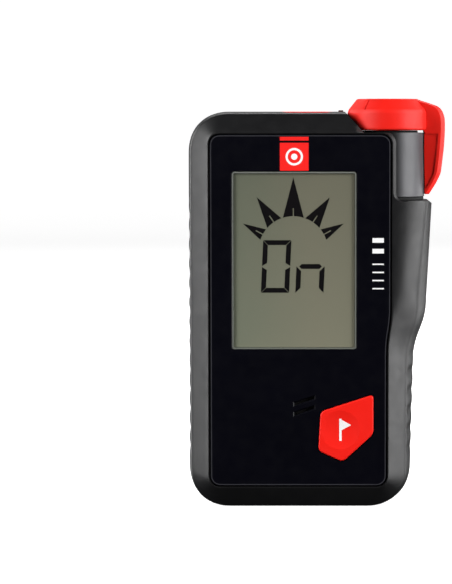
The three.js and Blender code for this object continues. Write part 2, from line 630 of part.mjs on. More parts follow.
piece('lcd_panel', box(-25.4, 13.2, -8.6, -7.4, 38, 94), 'lcd', { roughness: 0.25 });
piece('lcd_backlight', box(-24.6, 12.4, -7.3, -6.75, 41.2, 93.4), 'white');
piece('lcd_frame', displayFrame(), 'black');
piece('zebra_strip', box(-22, 10, -7.3, -6.7, 38.4, 40.6), 'rubber');
piece('main_board', mainBoard(), 'board');
piece('processor_shield', box(-21, -7, -5.35, -3.4, 62, 82), 'metal', METAL);
piece('radio_module', box(1, 14, -5.35, -3.5, 62, 82), 'grey');
piece('vibration_motor', rod(4.2, -5.35, -2.4, [-12, 0, 50], 'y'), 'metal', METAL);
piece('speaker', rod(6, -8.6, -6.75, [-8, 0, 28.4], 'y', 32), 'grey');
piece('speaker_membrane', rod(3.2, -9.7, -9.4, [-3.4, 0, 27.9], 'y'), 'white');
piece('mark_button', markButton(), 'red');
piece('button_mat', buttonMat(), 'rubber');
piece('mark_switch', rod(2.8, -7.2, -6.65, [BUTTON_CENTRE[0], 0, BUTTON_CENTRE[1]], 'y'), 'metal', METAL);

piece('battery_cell', batteryCell(), 'cell', { roughness: 0.4, metalness: 0.2 });
piece('battery_spring', batterySpring(), 'metal', METAL);
piece('battery_contact', box(21.05, 21.55, -1.4, 6.6, 10.4, 18.4), 'brass', METAL);
piece('battery_door', batteryDoor(), 'shell');
piece('battery_door_seal', sealRing(0), 'rubber', { roughness: 0.8 });
piece('battery_door_screw', doorScrew(), 'metal', METAL);

piece('switch_cap', switchCap(), 'red');
piece('switch_cap_disc', switchDisc(), 'red');
piece('switch_shaft', switchShaft(), 'metal', METAL);
piece('switch_screw', switchScrew(), 'metal', METAL);
piece('shaft_bush', tube(SHAFT_RADIUS + 0.12, SHAFT_BORE - 0.15, 98, 101.6, axisAt()), 'brass', METAL);
piece('shaft_o_ring', tube(SHAFT_RADIUS + 0.12, SHAFT_BORE - 0.15, 96.3, 97.6, axisAt()), 'rubber');
piece('shaft_clip', tube(SHAFT_RADIUS + 0.1, 4.9, 94.7, 95.3, axisAt()), 'metal', METAL);
piece('detent_wheel', detentWheel(), 'grey');
piece('detent_spring', box(11, 11.3, -2.2, 2.2, 88.2, 90.8), 'metal', METAL);
const ball = new THREE.SphereGeometry(0.8, 16, 10).translate(AXIS_X - 7.1, 0, 89.5);
piece('detent_ball', solid(ball), 'metal', METAL);
piece('switch_magnet', tube(SHAFT_RADIUS + 0.15, 5.6, 85.2, 87.6, axisAt()), 'metal', METAL);
piece('switch_sensor_board', box(14.2, 24.4, -5, 5, 82, 83), 'board');

for (const [name, { axis, place, core, coil, radius }] of Object.entries(ANTENNAS)) {
  piece(`${name}_core`, rod(radius, ...core, place, axis), 'ferrite', { roughness: 0.7 });
  piece(`${name}_coil`, tube(radius + 0.15, radius + 1.1, ...coil, place, axis), 'copper', METAL);
}
piece('antenna_holder_lower', antennaHolder(34.5, 37), 'black');
piece('antenna_holder_upper', antennaHolder(89, 91.5), 'black');
CASE_SCREWS.forEach((place, i) => piece(`case_screw_${i + 1}`, caseScrew(place), 'metal', METAL));

export default group;
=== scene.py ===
"""Avalanche transceiver: the finished look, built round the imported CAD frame.

Sizes are in millimetres in the frame's own directions (X right, Y back, Z up) and become
metres when a piece is finished.
"""

from math import asin, atan2, cos, pi, radians, sin

import bmesh
import bpy
from mathutils import Matrix, Vector


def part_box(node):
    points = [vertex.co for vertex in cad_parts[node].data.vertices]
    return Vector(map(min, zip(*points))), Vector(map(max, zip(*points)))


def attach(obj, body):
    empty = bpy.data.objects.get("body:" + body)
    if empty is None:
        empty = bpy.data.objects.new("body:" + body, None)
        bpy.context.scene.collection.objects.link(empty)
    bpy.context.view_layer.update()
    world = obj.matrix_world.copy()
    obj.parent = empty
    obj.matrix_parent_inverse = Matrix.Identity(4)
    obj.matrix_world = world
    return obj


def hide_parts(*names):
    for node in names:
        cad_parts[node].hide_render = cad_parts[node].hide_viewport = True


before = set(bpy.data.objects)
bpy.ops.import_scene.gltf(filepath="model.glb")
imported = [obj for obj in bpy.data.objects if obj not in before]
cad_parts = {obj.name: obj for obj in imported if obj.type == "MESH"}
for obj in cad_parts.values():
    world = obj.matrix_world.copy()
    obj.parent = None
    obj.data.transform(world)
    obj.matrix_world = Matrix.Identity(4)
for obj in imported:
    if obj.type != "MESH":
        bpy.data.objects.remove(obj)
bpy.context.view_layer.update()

MM = 0.001


# ---- Sizes ----------------------------------------------------------------------------------
def box_mm(node):
    """A CAD node's lowest and highest corners, in millimetres."""
    low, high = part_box(node)
    return [c / MM for c in low], [c / MM for c in high]


CASE_LOW, CASE_HIGH = box_mm("rear_shell")
PLATE_LOW, PLATE_HIGH = box_mm("faceplate")

HEIGHT = box_mm("switch_cap")[1][2]
BODY_TOP = CASE_HIGH[2]
LEFT = CASE_LOW[0]
HALF_DEPTH = CASE_HIGH[1]
EDGE_DEPTH = 8.0          # where the side wall turns into the bezel
SEAM_GAP = 0.05

# Cutting bodies run on to these places, outside the case.
PAST_FRONT = -13
PAST_BACK = 13
PAST_SIDE = 40
PAST_TOP = 120

GRIP_FOOT_X = 25.7
GRIP_TOP = (26.5, 39.5)
COLUMN_FOOT = (30.0, 56.5)
COLUMN_TOP_X = 32.75

PLATE = dict(left=PLATE_LOW[0], right=PLATE_HIGH[0], low_right=18.9,
             bottom=PLATE_LOW[2], top=PLATE_HIGH[2], radius=2.8)
PLATE_GAP = 0.3
PLATE_FRONT = PLATE_LOW[1]
PLATE_BACK = PLATE_HIGH[1]
POCKET_FLOOR = -9.9       # where the faceplate lies
FLOOR_BACK = -8.8         # the inner side of the wall under it
WINDOW = dict(left=-22.93, right=10.74, bottom=43.28, top=91.35)

AXIS_X = 19.3
SEAT_Z = 101.8
SEAT_RADIUS = 11.4
CAP_RADIUS = 10.9
CAP_TOP_RADIUS = 8.5
CAP_FOLD = 107.7
RECESS_RADIUS = 10.1
RECESS_FLOOR = 84.4
LEDGE_Z = 83.3
RECESS_WALL_X = 20.75
LEVER_HALF_WIDTH = 3.35
BAND_DEPTH = 1.25
BAND_HALF_WIDTH = 0.95
BAND_TOP_END = -13.0
BAND_RIGHT_END = 83.0

RIB_PITCH = 5.3
RIB_DEPTH = 0.45
LEFT_RIBS = (13.0, 85.0)
RIGHT_RIBS = (13.0, 43.5)

BUTTON = [(15.35, 31.05), (15.38, 20.25), (7.0, 12.6), (0.4, 15.65), (1.0, 26.4)]
BUTTON_CENTRE = (6.4, 21.4)
SPEAKER = (-3.4, 27.9)
SLOTS_Z = (29.25, 26.6)
DOOR_SCREW = (-4.6, 0, 26.1)
LCD_FRONT = -10.7
INK = 0.03                # how far a printed mark stands proud


# ---- Curves and outlines --------------------------------------------------------------------
def line(a, b, steps):
    """Points from a up to b, without b."""
    return [(a[0] + (b[0] - a[0]) * i / steps, a[1] + (b[1] - a[1]) * i / steps) for i in range(steps)]


def bezier(a, b, c, d, steps):
    """Points on a cubic curve from a up to d, without d."""
    points = []
    for i in range(steps):
        t = i / steps
        s = 1 - t
        weights = (s ** 3, 3 * s * s * t, 3 * s * t * t, t ** 3)
        points.append(tuple(sum(w * p[k] for w, p in zip(weights, (a, b, c, d))) for k in (0, 1)))
    return points


def corner(a, c, b, steps, reach=0.6):
    """A round corner from a to b whose handles reach towards the sharp corner c."""
    first = tuple(a[k] + (c[k] - a[k]) * reach for k in (0, 1))
    second = tuple(b[k] + (c[k] - b[k]) * reach for k in (0, 1))
    return bezier(a, first, second, b, steps)


def smoothstep(low, high, value):
    """0 below low, 1 above high and a smooth rise between."""
    t = min(max((value - low) / (high - low), 0.0), 1.0)
    return t * t * (3 - 2 * t)


def case_outline(bottom, top, left, radius, crown, grip_x, grip_top, column_foot, column_top_x):
    """The case's outline in X and Z. Every outline has the same count of points on each stretch,
    so two of them can be blended point by point."""
    foot = (grip_x, bottom + radius)
    head = (column_top_x, top)
    rise = (column_foot[1] - grip_top[1]) * 0.47
    return (
        line((-18.0, bottom), (8.0 + crown, bottom), 10)
        + corner((8.0 + crown, bottom), (grip_x, bottom), foot, 18)
        + line(foot, grip_top, 64)
        + bezier(grip_top, (grip_top[0], grip_top[1] + rise),
                 (column_foot[0], column_foot[1] - rise), column_foot, 26)
        + line(column_foot, head, 40)
        + line(head, (left + radius, top), 34)
        + corner((left + radius, top), (left, top), (left, top - radius), 18)
        + line((left, top - radius), (left, bottom + radius), 150)
        + corner((left, bottom + radius), (left, bottom), (-18.0 - crown, bottom), 18)
        + line((-18.0 - crown, bottom), (-18.0, bottom), 4)
    )


SEAM_LINE = case_outline(0.0, BODY_TOP, LEFT, 11.0, 7.0, GRIP_FOOT_X, GRIP_TOP, COLUMN_FOOT, COLUMN_TOP_X)
EDGE_LINE = case_outline(0.0, BODY_TOP - 0.5, LEFT + 0.7, 10.5, 5.5, GRIP_FOOT_X - 1.5,
                         (GRIP_TOP[0] - 2.2, GRIP_TOP[1]), (COLUMN_FOOT[0] - 2.7, COLUMN_FOOT[1]),
                         COLUMN_TOP_X - 0.55)
LIP = PLATE_GAP + 0.08
FACE_LINE = case_outline(PLATE["bottom"] - LIP, PLATE["top"] + LIP + 0.2, PLATE["left"] - LIP,
                         PLATE["radius"] + 0.4, 8.2, PLATE["low_right"] + LIP,
                         (PLATE["low_right"] + LIP, 41.5), (PLATE["right"] + LIP, 55.0),
                         PLATE["right"] + LIP)
CAVITY_LINE = case_outline(1.9, 104.8, LEFT + 2.2, 8.0, 6.0, GRIP_FOOT_X - 2.2,
                           (GRIP_TOP[0] - 2.4, GRIP_TOP[1]), (COLUMN_FOOT[0] - 2.6, COLUMN_FOOT[1]),
                           COLUMN_TOP_X - 3.3)
CAVITY_FACE_LINE = case_outline(3.6, 103.2, LEFT + 3.8, 6.0, 6.0, 21.4, (21.4, GRIP_TOP[1]),
                                (24.6, COLUMN_FOOT[1]), 25.6)


def blend_lines(a, b, t):
    """The outline that lies t of the way from a to b."""
    return [(p[0] + (q[0] - p[0]) * t, p[1] + (q[1] - p[1]) * t) for p, q in zip(a, b)]


REAR_FACE = blend_lines(EDGE_LINE, FACE_LINE, 0.4)


def inward(points, i):
    """The direction into the outline at point i."""
    a = points[i - 1]
    b = points[(i + 1) % len(points)]
    along = Vector((b[0] - a[0], b[1] - a[1])).normalized()
    return Vector((-along.y, along.x))


def rib_depth(x, z, y):
    """How deep the grip's grooves are at a point of the side wall."""
    low, high = LEFT_RIBS if x < 0 else RIGHT_RIBS
    if abs(x - 26) > 3 and abs(x - LEFT) > 3:
        return 0.0
    ends = smoothstep(low, low + 4, z) * (1 - smoothstep(high - 4, high, z))
    wave = 0.5 - 0.5 * cos(2 * pi * (z - low) / RIB_PITCH)
    across = 0.45 + 0.55 * smoothstep(1.1, 2.4, abs(y))
    across *= 1 - smoothstep(5.6, 7.6, abs(y))
    return RIB_DEPTH * ends * wave ** 1.5 * across


def in_band(x, z):
    """Whether the seam band covers this point of the seam line."""
    if z > BODY_TOP - 14 and x > BAND_TOP_END:
        return False
    return not (x > 10 and z > BAND_RIGHT_END)


def case_ring(points, y, step_in=0.0):
    """One ring of the case at depth y, with the grip's grooves and, if asked, the band's channel."""
    ring = []
    for i, (x, z) in enumerate(points):
        depth = rib_depth(x, z, y)
        if step_in and in_band(x, z):
            depth += step_in
        n = inward(points, i)
        ring.append((x + n.x * depth, y, z + n.y * depth))
    return ring


def plate_outline(grow, steps=10):
    """The faceplate's outline, grown outwards."""
    x0, x1, xl = PLATE["left"] - grow, PLATE["right"] + grow, PLATE["low_right"] + grow
    z0, z1, r = PLATE["bottom"] - grow, PLATE["top"] + grow, PLATE["radius"] + grow
    return (
        line((x0 + r, z0), (xl - r, z0), 2)
        + corner((xl - r, z0), (xl, z0), (xl, z0 + r), steps)
        + line((xl, z0 + r), (xl, 41.5), 2)
        + bezier((xl, 41.5), (xl, 48.0), (x1, 48.5), (x1, 55.0), 18)
        + line((x1, 55.0), (x1, z1 - r), 2)
        + corner((x1, z1 - r), (x1, z1), (x1 - r, z1), steps)
        + line((x1 - r, z1), (x0 + r, z1), 2)
        + corner((x0 + r, z1), (x0, z1), (x0, z1 - r), steps)
        + line((x0, z1 - r), (x0, z0 + r), 2)
        + corner((x0, z0 + r), (x0, z0), (x0 + r, z0), steps)
    )


def rounded(points, radius, steps=6):
    """A polygon with each corner rounded."""
    result = []
    for i, p in enumerate(points):
        p = Vector(p)
        before = (Vector(points[i - 1]) - p).normalized()
        after = (Vector(points[(i + 1) % len(points)]) - p).normalized()
        a = p + before * radius
        b = p + after * radius
        result += corner(tuple(a), tuple(p), tuple(b), steps) + [tuple(b)]
    return result


def grown(points, distance):
    """A polygon with each side moved outwards, whichever way it winds."""
    area = sum(a[0] * b[1] - b[0] * a[1] for a, b in zip(points, points[1:] + points[:1]))
    turn = 1 if area > 0 else -1
    result = []
    for i, p in enumerate(points):
        p = Vector(p)
        into = (p - Vector(points[i - 1])).normalized()
        out = (Vector(points[(i + 1) % len(points)]) - p).normalized()
        n1 = Vector((into.y, -into.x)) * turn
        n2 = Vector((out.y, -out.x)) * turn
        result.append(tuple(p + (n1 + n2) * distance / (1 + n1.dot(n2))))
    return result


def rectangle(x0, x1, z0, z1):
    """The four corners, in order."""
    return [(x0, z0), (x1, z0), (x1, z1), (x0, z1)]


def circle(x, z, radius, steps=48):
    """Evenly spaced points round a centre."""
    angles = [2 * pi * i / steps for i in range(steps)]
    return [(x + radius * cos(a), z + radius * sin(a)) for a in angles]


# ---- Mesh helpers ---------------------------------------------------------------------------
def loft(rings):
    """A closed body: one face, extruded from ring to ring. Each vertex carries its place in the ring."""
    bm = bmesh.new()
    place = bm.verts.layers.int.new("place")
    face = bm.faces.new([bm.verts.new(p) for p in rings[0]])
    for i, v in enumerate(face.verts):
        v[place] = i
    for level, ring in enumerate(rings[1:]):
        made = bmesh.ops.extrude_face_region(bm, geom=[face], use_keep_orig=True)["geom"]
        if level:
            bmesh.ops.delete(bm, geom=[face], context="FACES_ONLY")
        face = next(g for g in made if isinstance(g, bmesh.types.BMFace))
        for v in face.verts:
            v.co = ring[v[place]]
    bm.verts.layers.int.remove(place)
    bmesh.ops.recalc_face_normals(bm, faces=bm.faces)
    return bm


def upright(points, y):
    """An outline in X and Z, set at depth y."""
    return [(x, y, z) for x, z in points]


def prism(points, y0, y1):
    """An outline in X and Z, carried from y0 to y1."""
    return loft([upright(points, y) for y in (y0, y1)])


def stepped(outline, levels):
    """A body that is outline(growth), in X and Z, at each (depth, growth) of its levels."""
    return loft([upright(outline(growth), y) for y, growth in levels])


def tower(points, z0, z1):
    """An outline in X and Y, carried from z0 to z1."""
    return loft([[(x, y, z) for x, y in points] for z in (z0, z1)])


def block(x0, x1, y0, y1, z0, z1):
    """A square-cornered body, to be shaped further or to cut with."""
    bm = bmesh.new()
    bmesh.ops.create_cube(bm, size=1)
    bmesh.ops.scale(bm, vec=(x1 - x0, y1 - y0, z1 - z0), verts=bm.verts)
    bmesh.ops.translate(bm, vec=((x0 + x1) / 2, (y0 + y1) / 2, (z0 + z1) / 2), verts=bm.verts)
    return bm


def spun(profile, centre, axis="Z", steps=96):
    """Radius and height pairs spun a full turn about an axis through centre."""
    bm = bmesh.new()
    verts = [bm.verts.new((r, 0, h)) for r, h in profile]
    closed = profile[0][0] > 0 or profile[-1][0] > 0
    edges = [bm.edges.new(pair) for pair in zip(verts, verts[1:])]
    if closed:
        edges.append(bm.edges.new((verts[-1], verts[0])))
    bmesh.ops.spin(bm, geom=verts + edges, cent=(0, 0, 0), axis=(0, 0, 1), angle=2 * pi,
                   steps=steps, use_merge=True, use_duplicate=False)
    bmesh.ops.remove_doubles(bm, verts=bm.verts, dist=1e-4)
    if axis == "Y":
        bmesh.ops.rotate(bm, cent=(0, 0, 0), matrix=Matrix.Rotation(-pi / 2, 3, "X"), verts=bm.verts)
    bmesh.ops.translate(bm, vec=centre, verts=bm.verts)
    bmesh.ops.recalc_face_normals(bm, faces=bm.faces)
    return bm


def bevel(bm, width):
    """Rounds the edges that turn by more than 35 degrees."""
    edges = [e for e in bm.edges if e.is_manifold and e.calc_face_angle(0) > radians(35)]
    bmesh.ops.bevel(bm, geom=edges, offset=width, offset_type="OFFSET", segments=2,
                    profile=0.5, affect="EDGES", clamp_overlap=True, material=-1)
    return bm


def temporary(bm):
    """An object for a boolean step, which combine() takes away again."""
    mesh = bpy.data.meshes.new("cutter")
    bm.to_mesh(mesh)
    bm.free()
    obj = bpy.data.objects.new("cutter", mesh)
    bpy.context.scene.collection.objects.link(obj)
    return obj


def combine(bm, steps):
    """Applies a list of ("DIFFERENCE" | "UNION" | "INTERSECT", bmesh) to a bmesh."""
    body = temporary(bm)
    tools = []
    for operation, other in steps:
        tool = temporary(other)
        tools.append(tool)
        modifier = body.modifiers.new(operation, "BOOLEAN")
        modifier.solver = "EXACT"
        modifier.operation = operation
        modifier.object = tool
    depsgraph = bpy.context.evaluated_depsgraph_get()
    result = bmesh.new()
    mesh = bpy.data.meshes.new_from_object(body.evaluated_get(depsgraph))
    result.from_mesh(mesh)
    bpy.data.meshes.remove(mesh)
    for obj in tools + [body]:
        used = obj.data
        bpy.data.objects.remove(obj)
        bpy.data.meshes.remove(used)
    bmesh.ops.dissolve_degenerate(result, dist=1e-4, edges=result.edges)
    return result


def cut(bm, *others):
    """The first body without the others."""
    return combine(bm, [("DIFFERENCE", other) for other in others])


def joined(parts):
    """Several separate bodies as one bmesh."""
    whole = bmesh.new()
    for part in parts:
        mesh = bpy.data.meshes.new("part")
        part.to_mesh(mesh)
        part.free()
        whole.from_mesh(mesh)
        bpy.data.meshes.remove(mesh)
    return whole


def finish(name, bm, material, body, replaces=(), smooth=38):
    """Makes the finished piece: metres, smooth where the shape is round, riding on its body."""
    bmesh.ops.scale(bm, vec=(MM, MM, MM), verts=bm.verts)
    mesh = bpy.data.meshes.new(name)
    bm.to_mesh(mesh)
    bm.free()
    mesh.shade_smooth()
    mesh.set_sharp_from_angle(angle=radians(smooth))
    mesh.materials.append(material)
    obj = bpy.data.objects.new(name, mesh)
    bpy.context.scene.collection.objects.link(obj)
    even = obj.modifiers.new("even_normals", "WEIGHTED_NORMAL")
    even.keep_sharp = True
    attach(obj, body)
    if replaces:
        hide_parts(*replaces)


# ---- Materials ------------------------------------------------------------------------------
class Nodes:
    """A material's node tree, with short ways to add to it."""

    def __init__(self, name, colour, roughness, **inputs):
        self.material = bpy.data.materials.new(name)
        self.material.use_nodes = True
        self.tree = self.material.node_tree
        self.shader = self.tree.nodes["Principled BSDF"]
        self.shader.inputs["Base Color"].default_value = (*colour, 1)
        self.shader.inputs["Roughness"].default_value = roughness
        for key, value in inputs.items():
            self.shader.inputs[key.replace("_", " ").title().replace("Ior", "IOR")].default_value = value
        self.coordinates = self.tree.nodes.new("ShaderNodeTexCoord").outputs["Object"]

    def add(self, kind, **settings):
        """A new node, with its settings."""
        node = self.tree.nodes.new("ShaderNode" + kind)
        for key, value in settings.items():
            setattr(node, key, value)
        return node

    def join(self, output, socket):
        """A link from a node's output to another's input."""
        self.tree.links.new(output, socket)

    def split(self):
        """X, Y and Z of the place on the object, as outputs by name."""
        node = self.add("SeparateXYZ")
        self.join(self.coordinates, node.inputs["Vector"])
        return node.outputs

    def noise(self, scale, detail=3.0):
        """Noise fixed to the object; 1000 is a grain of about a millimetre."""
        node = self.add("TexNoise")
        node.inputs["Scale"].default_value = scale
        node.inputs["Detail"].default_value = detail
        self.join(self.coordinates, node.inputs["Vector"])
        return node.outputs["Fac"]

    def ramp(self, value, stops):
        """A colour for each value, from (value, colour) stops."""
        node = self.add("ValToRGB")
        elements = node.color_ramp.elements
        while len(elements) < len(stops):
            elements.new(0.5)
        for element, (place, colour) in zip(elements, stops):
            element.position = place
            element.color = (*colour, 1)
        self.join(value, node.inputs["Fac"])
        return node.outputs["Color"]

    def spread(self, value, low, high, out_low, out_high):
        """Stretches the range low to high over out_low to out_high, and stops at its ends."""
        node = self.add("MapRange")
        node.inputs["From Min"].default_value = low
        node.inputs["From Max"].default_value = high
        node.inputs["To Min"].default_value = out_low
        node.inputs["To Max"].default_value = out_high
        self.join(value, node.inputs["Value"])
        return node.outputs["Result"]

    def bump(self, height, distance, strength):
        """A normal that follows a height, with its full depth in metres."""
        node = self.add("Bump")
        node.inputs["Strength"].default_value = strength
        node.inputs["Distance"].default_value = distance
        self.join(height, node.inputs["Height"])
        return node.outputs["Normal"]


def painted_column_light(n, colour, lift):
    """Makes a colour paler on the head of the column: painted light, so that the column looks evenly lit."""
    place = n.split()
    above = n.spread(place["Z"], (RECESS_FLOOR - 0.1) * MM, (RECESS_FLOOR + 0.3) * MM, 0, 1)
    beside = n.spread(place["X"], (RECESS_WALL_X + 0.65) * MM, (RECESS_WALL_X + 2.65) * MM, 0, 1)
    both = n.add("Math", operation="MULTIPLY")
    n.join(above, both.inputs[0])
    n.join(beside, both.inputs[1])
    factor = n.spread(both.outputs[0], 0, 1, 1, lift)
    scaled = n.add("VectorMath", operation="SCALE")
    n.join(colour, scaled.inputs[0])
    n.join(factor, scaled.inputs["Scale"])
    return scaled.outputs[0]


def moulded(name, colour, roughness, grain=9000.0, depth=0.00002, shift=0.12, column_light_lift=0, **inputs):
    """Moulded plastic: a spark-eroded grain, slight colour drift and uneven gloss."""
    n = Nodes(name, colour, roughness, **inputs)
    fine = n.noise(grain, 2.0)
    broad = n.noise(60.0, 3.0)
    dark = tuple(c * (1 - shift) for c in colour)
    light = tuple(min(c * (1 + shift), 1.0) for c in colour)
    base = n.ramp(broad, [(0.3, dark), (0.7, light)])
    # Painted light: the case plastic is made paler on the head of the column.
    if column_light_lift:
        base = painted_column_light(n, base, column_light_lift)
    n.join(base, n.shader.inputs["Base Color"])
    n.join(n.spread(n.noise(400.0, 4.0), 0.3, 0.7, roughness - 0.04, roughness + 0.05),
           n.shader.inputs["Roughness"])
    n.join(n.bump(fine, depth, 0.6), n.shader.inputs["Normal"])
    return n.material


def metal(name, colour, roughness):
    """Plated or drawn metal with fine marks."""
    n = Nodes(name, colour, roughness, metallic=1.0)
    marks = n.noise(2600.0, 4.0)
    n.join(n.spread(marks, 0.3, 0.7, roughness - 0.08, roughness + 0.1), n.shader.inputs["Roughness"])
    n.join(n.bump(marks, 0.00001, 0.4), n.shader.inputs["Normal"])
    n.join(n.ramp(n.noise(150.0), [(0.35, tuple(c * 0.85 for c in colour)), (0.65, colour)]),
           n.shader.inputs["Base Color"])
    return n.material


def printed(name, colour, specular=0.5):
    """Screen-printed ink: even, with a faint mesh in its edge and gloss."""
    n = Nodes(name, colour, 0.45, specular_ior_level=specular)
    mesh_marks = n.noise(5000.0, 1.0)
    n.join(n.ramp(mesh_marks, [(0.3, tuple(c * 0.94 for c in colour)), (0.6, colour)]),
           n.shader.inputs["Base Color"])
    n.join(n.bump(mesh_marks, 0.000005, 0.3), n.shader.inputs["Normal"])
    return n.material


def lcd_material():
    """Reflective display: grey-green, faintly mottled, with painted light and shade: lighter low down, and
    lighter and warmer to the right.
    """
    n = Nodes("lcd_ground", (0.19, 0.2, 0.14), 0.42)
    place = n.split()
    across = n.spread(place["X"], WINDOW["left"] * MM, WINDOW["right"] * MM, 0.0, 1.0)
    # Painted light and shade: darker at the top of the window, lighter towards its bottom.
    down = n.spread(place["Z"], WINDOW["top"] * MM, WINDOW["bottom"] * MM, 0.82, 1.16)
    total = n.add("Math", operation="MULTIPLY_ADD")
    n.join(n.noise(90.0, 4.0), total.inputs[0])
    total.inputs[1].default_value = 0.35
    n.join(across, total.inputs[2])
    # Painted light: the ramp makes the right side lighter as well as warmer.
    hue = n.ramp(total.outputs["Value"], [(0.15, (0.165, 0.182, 0.13)), (0.82, (0.205, 0.2, 0.142))])
    lit = n.add("VectorMath", operation="SCALE")
    n.join(hue, lit.inputs[0])
    n.join(down, lit.inputs["Scale"])
    n.join(lit.outputs["Vector"], n.shader.inputs["Base Color"])
    n.join(n.bump(n.noise(7000.0, 1.0), 0.000004, 0.3), n.shader.inputs["Normal"])
    return n.material


def window_material():
    """Clear hard-coated plastic: nearly all see-through, with a surface gloss."""
    n = Nodes("window_clear", (0.02, 0.022, 0.02), 0.06, alpha=0.06)
    n.join(n.spread(n.noise(300.0, 4.0), 0.3, 0.7, 0.04, 0.09), n.shader.inputs["Roughness"])
    return n.material


def ferrite_material():
    """Sintered ferrite: dull, dark grey and pitted."""
    n = Nodes("ferrite", (0.03, 0.029, 0.028), 0.75)
    pits = n.noise(3000.0, 5.0)
    n.join(n.ramp(pits, [(0.3, (0.018, 0.018, 0.018)), (0.7, (0.05, 0.048, 0.046))]),
           n.shader.inputs["Base Color"])
    n.join(n.bump(pits, 0.00003, 0.7), n.shader.inputs["Normal"])
    return n.material


def winding_material(axis):
    """Enamelled wire, turn beside turn along the coil's axis, with painted shade darkening the valleys
    between the turns.
    """
    n = Nodes("winding_" + axis, (0.45, 0.15, 0.05), 0.3, metallic=0.8)
    wire = 0.35 * MM
    turns = n.add("Math", operation="MULTIPLY")
    n.join(n.split()[axis], turns.inputs[0])
    turns.inputs[1].default_value = 2 * pi / wire
    wave = n.add("Math", operation="SINE")
    n.join(turns.outputs[0], wave.inputs[0])
    height = n.spread(wave.outputs[0], -1, 1, 0, 1)
    # Painted shade: the valleys between turns are darker and the crests lighter.
    n.join(n.ramp(height, [(0.2, (0.2, 0.06, 0.02)), (0.8, (0.55, 0.2, 0.07))]),
           n.shader.inputs["Base Color"])
    n.join(n.bump(wave.outputs[0], 0.00008, 0.8), n.shader.inputs["Normal"])
    return n.material


def board_material():
    """Solder mask with lighter copper pours."""
    n = Nodes("board", (0.015, 0.11, 0.045), 0.32)
    cells = n.add("TexVoronoi", feature="DISTANCE_TO_EDGE")
    cells.inputs["Scale"].default_value = 320.0
    n.join(n.coordinates, cells.inputs["Vector"])
    n.join(n.ramp(cells.outputs["Distance"], [(0.02, (0.01, 0.07, 0.03)), (0.08, (0.02, 0.14, 0.06))]),
           n.shader.inputs["Base Color"])
    n.join(n.bump(cells.outputs["Distance"], 0.00004, 0.5), n.shader.inputs["Normal"])
    return n.material


def cell_material():
    """The cell's printed jacket: a dark body with a copper-coloured end."""
    n = Nodes("cell_jacket", (0.03, 0.05, 0.2), 0.3, metallic=0.6)
    dark, copper, bare = (0.02, 0.03, 0.05), (0.5, 0.24, 0.08), (0.6, 0.6, 0.6)
    along = n.spread(n.split()["X"], -28.6 * MM, 20.9 * MM, 0, 1)
    n.join(n.ramp(along, [(0.0, dark), (0.69, dark), (0.7, copper), (0.97, copper), (0.98, bare)]),
           n.shader.inputs["Base Color"])
    n.join(n.spread(n.noise(800.0), 0.3, 0.7, 0.26, 0.38), n.shader.inputs["Roughness"])
    return n.material


# The case plastic carries painted light: ten times paler on the head of the column.
CASE_PLASTIC = moulded("case_plastic", (0.006, 0.006, 0.0066), 0.42, column_light_lift=10, specular_ior_level=0.35)
RED_PLASTIC = moulded("red_plastic", (0.78, 0.012, 0.006), 0.5, grain=7000.0, shift=0.04,
                      specular_ior_level=0.24)
RED_BAND = moulded("red_band", (0.6, 0.02, 0.012), 0.5, grain=6000.0, shift=0.06)
FACE_BLACK = moulded("face_black", (0.0014, 0.0014, 0.0034), 0.34, grain=14000.0, depth=0.00001, shift=0.1,
                     specular_ior_level=0.16)
# A painted highlight for the faceplate's edge.
PLATE_EDGE_HIGHLIGHT = moulded("plate_edge_highlight", (0.035, 0.035, 0.042), 0.34, grain=14000.0, depth=0.00001, shift=0.1)
RED_BUTTON = moulded("red_button", (0.86, 0.011, 0.005), 0.5, grain=7000.0, shift=0.0,
                     specular_ior_level=0.24)
GREY_PLASTIC = moulded("grey_plastic", (0.1, 0.1, 0.105), 0.5)
BLACK_PLASTIC = moulded("black_plastic", (0.012, 0.012, 0.013), 0.5)
WHITE_PLASTIC = moulded("white_plastic", (0.7, 0.7, 0.68), 0.5, shift=0.03)
RUBBER = moulded("black_rubber", (0.008, 0.008, 0.008), 0.75, grain=5000.0, depth=0.00003,
                 specular_ior_level=0.25)
STEEL = metal("zinc_steel", (0.56, 0.56, 0.57), 0.3)
BRASS = metal("brass", (0.6, 0.42, 0.16), 0.28)
WHITE_INK = printed("white_ink", (0.93, 0.93, 0.93))
RED_INK = printed("red_ink", (0.92, 0.011, 0.008))
GREY_INK = printed("grey_ink", (0.25, 0.25, 0.26))
LCD_DARK = printed("lcd_segment", (0.003, 0.002, 0.003), 0.1)
# A painted highlight for the window's bevelled edge.
WINDOW_RIM_HIGHLIGHT = moulded("window_edge_highlight", (0.16, 0.17, 0.15), 0.3, shift=0.05)
LCD = lcd_material()
CLEAR = window_material()


# ---- Camera ---------------------------------------------------------------------------------
def add_camera():
    """Level with the middle of the device, a little above it, looking straight at the front."""
    distance = 0.667
    rise = radians(4.2)
    target = Vector((0, 0, HEIGHT * MM / 2))
    data = bpy.data.cameras.new("camera")
    data.sensor_width = 36
    data.lens = 149.6
    data.shift_x = -0.1555
    data.shift_y = 0.0161
    data.clip_start = 0.01
    camera = bpy.data.objects.new("camera", data)
    camera.location = target + distance * Vector((0, -cos(rise), sin(rise)))
    camera.rotation_euler = (pi / 2 - rise, 0, 0)
    bpy.context.scene.collection.objects.link(camera)
    bpy.context.scene.camera = camera


# ---- Case -----------------------------------------------------------------------------------
def bezel_roundness(x, z):
    """1 is a flat bezel. It is rounder along the switch column."""
    return 1.06 + 0.75 * smoothstep(50, 62, z) * smoothstep(14, 19, x)


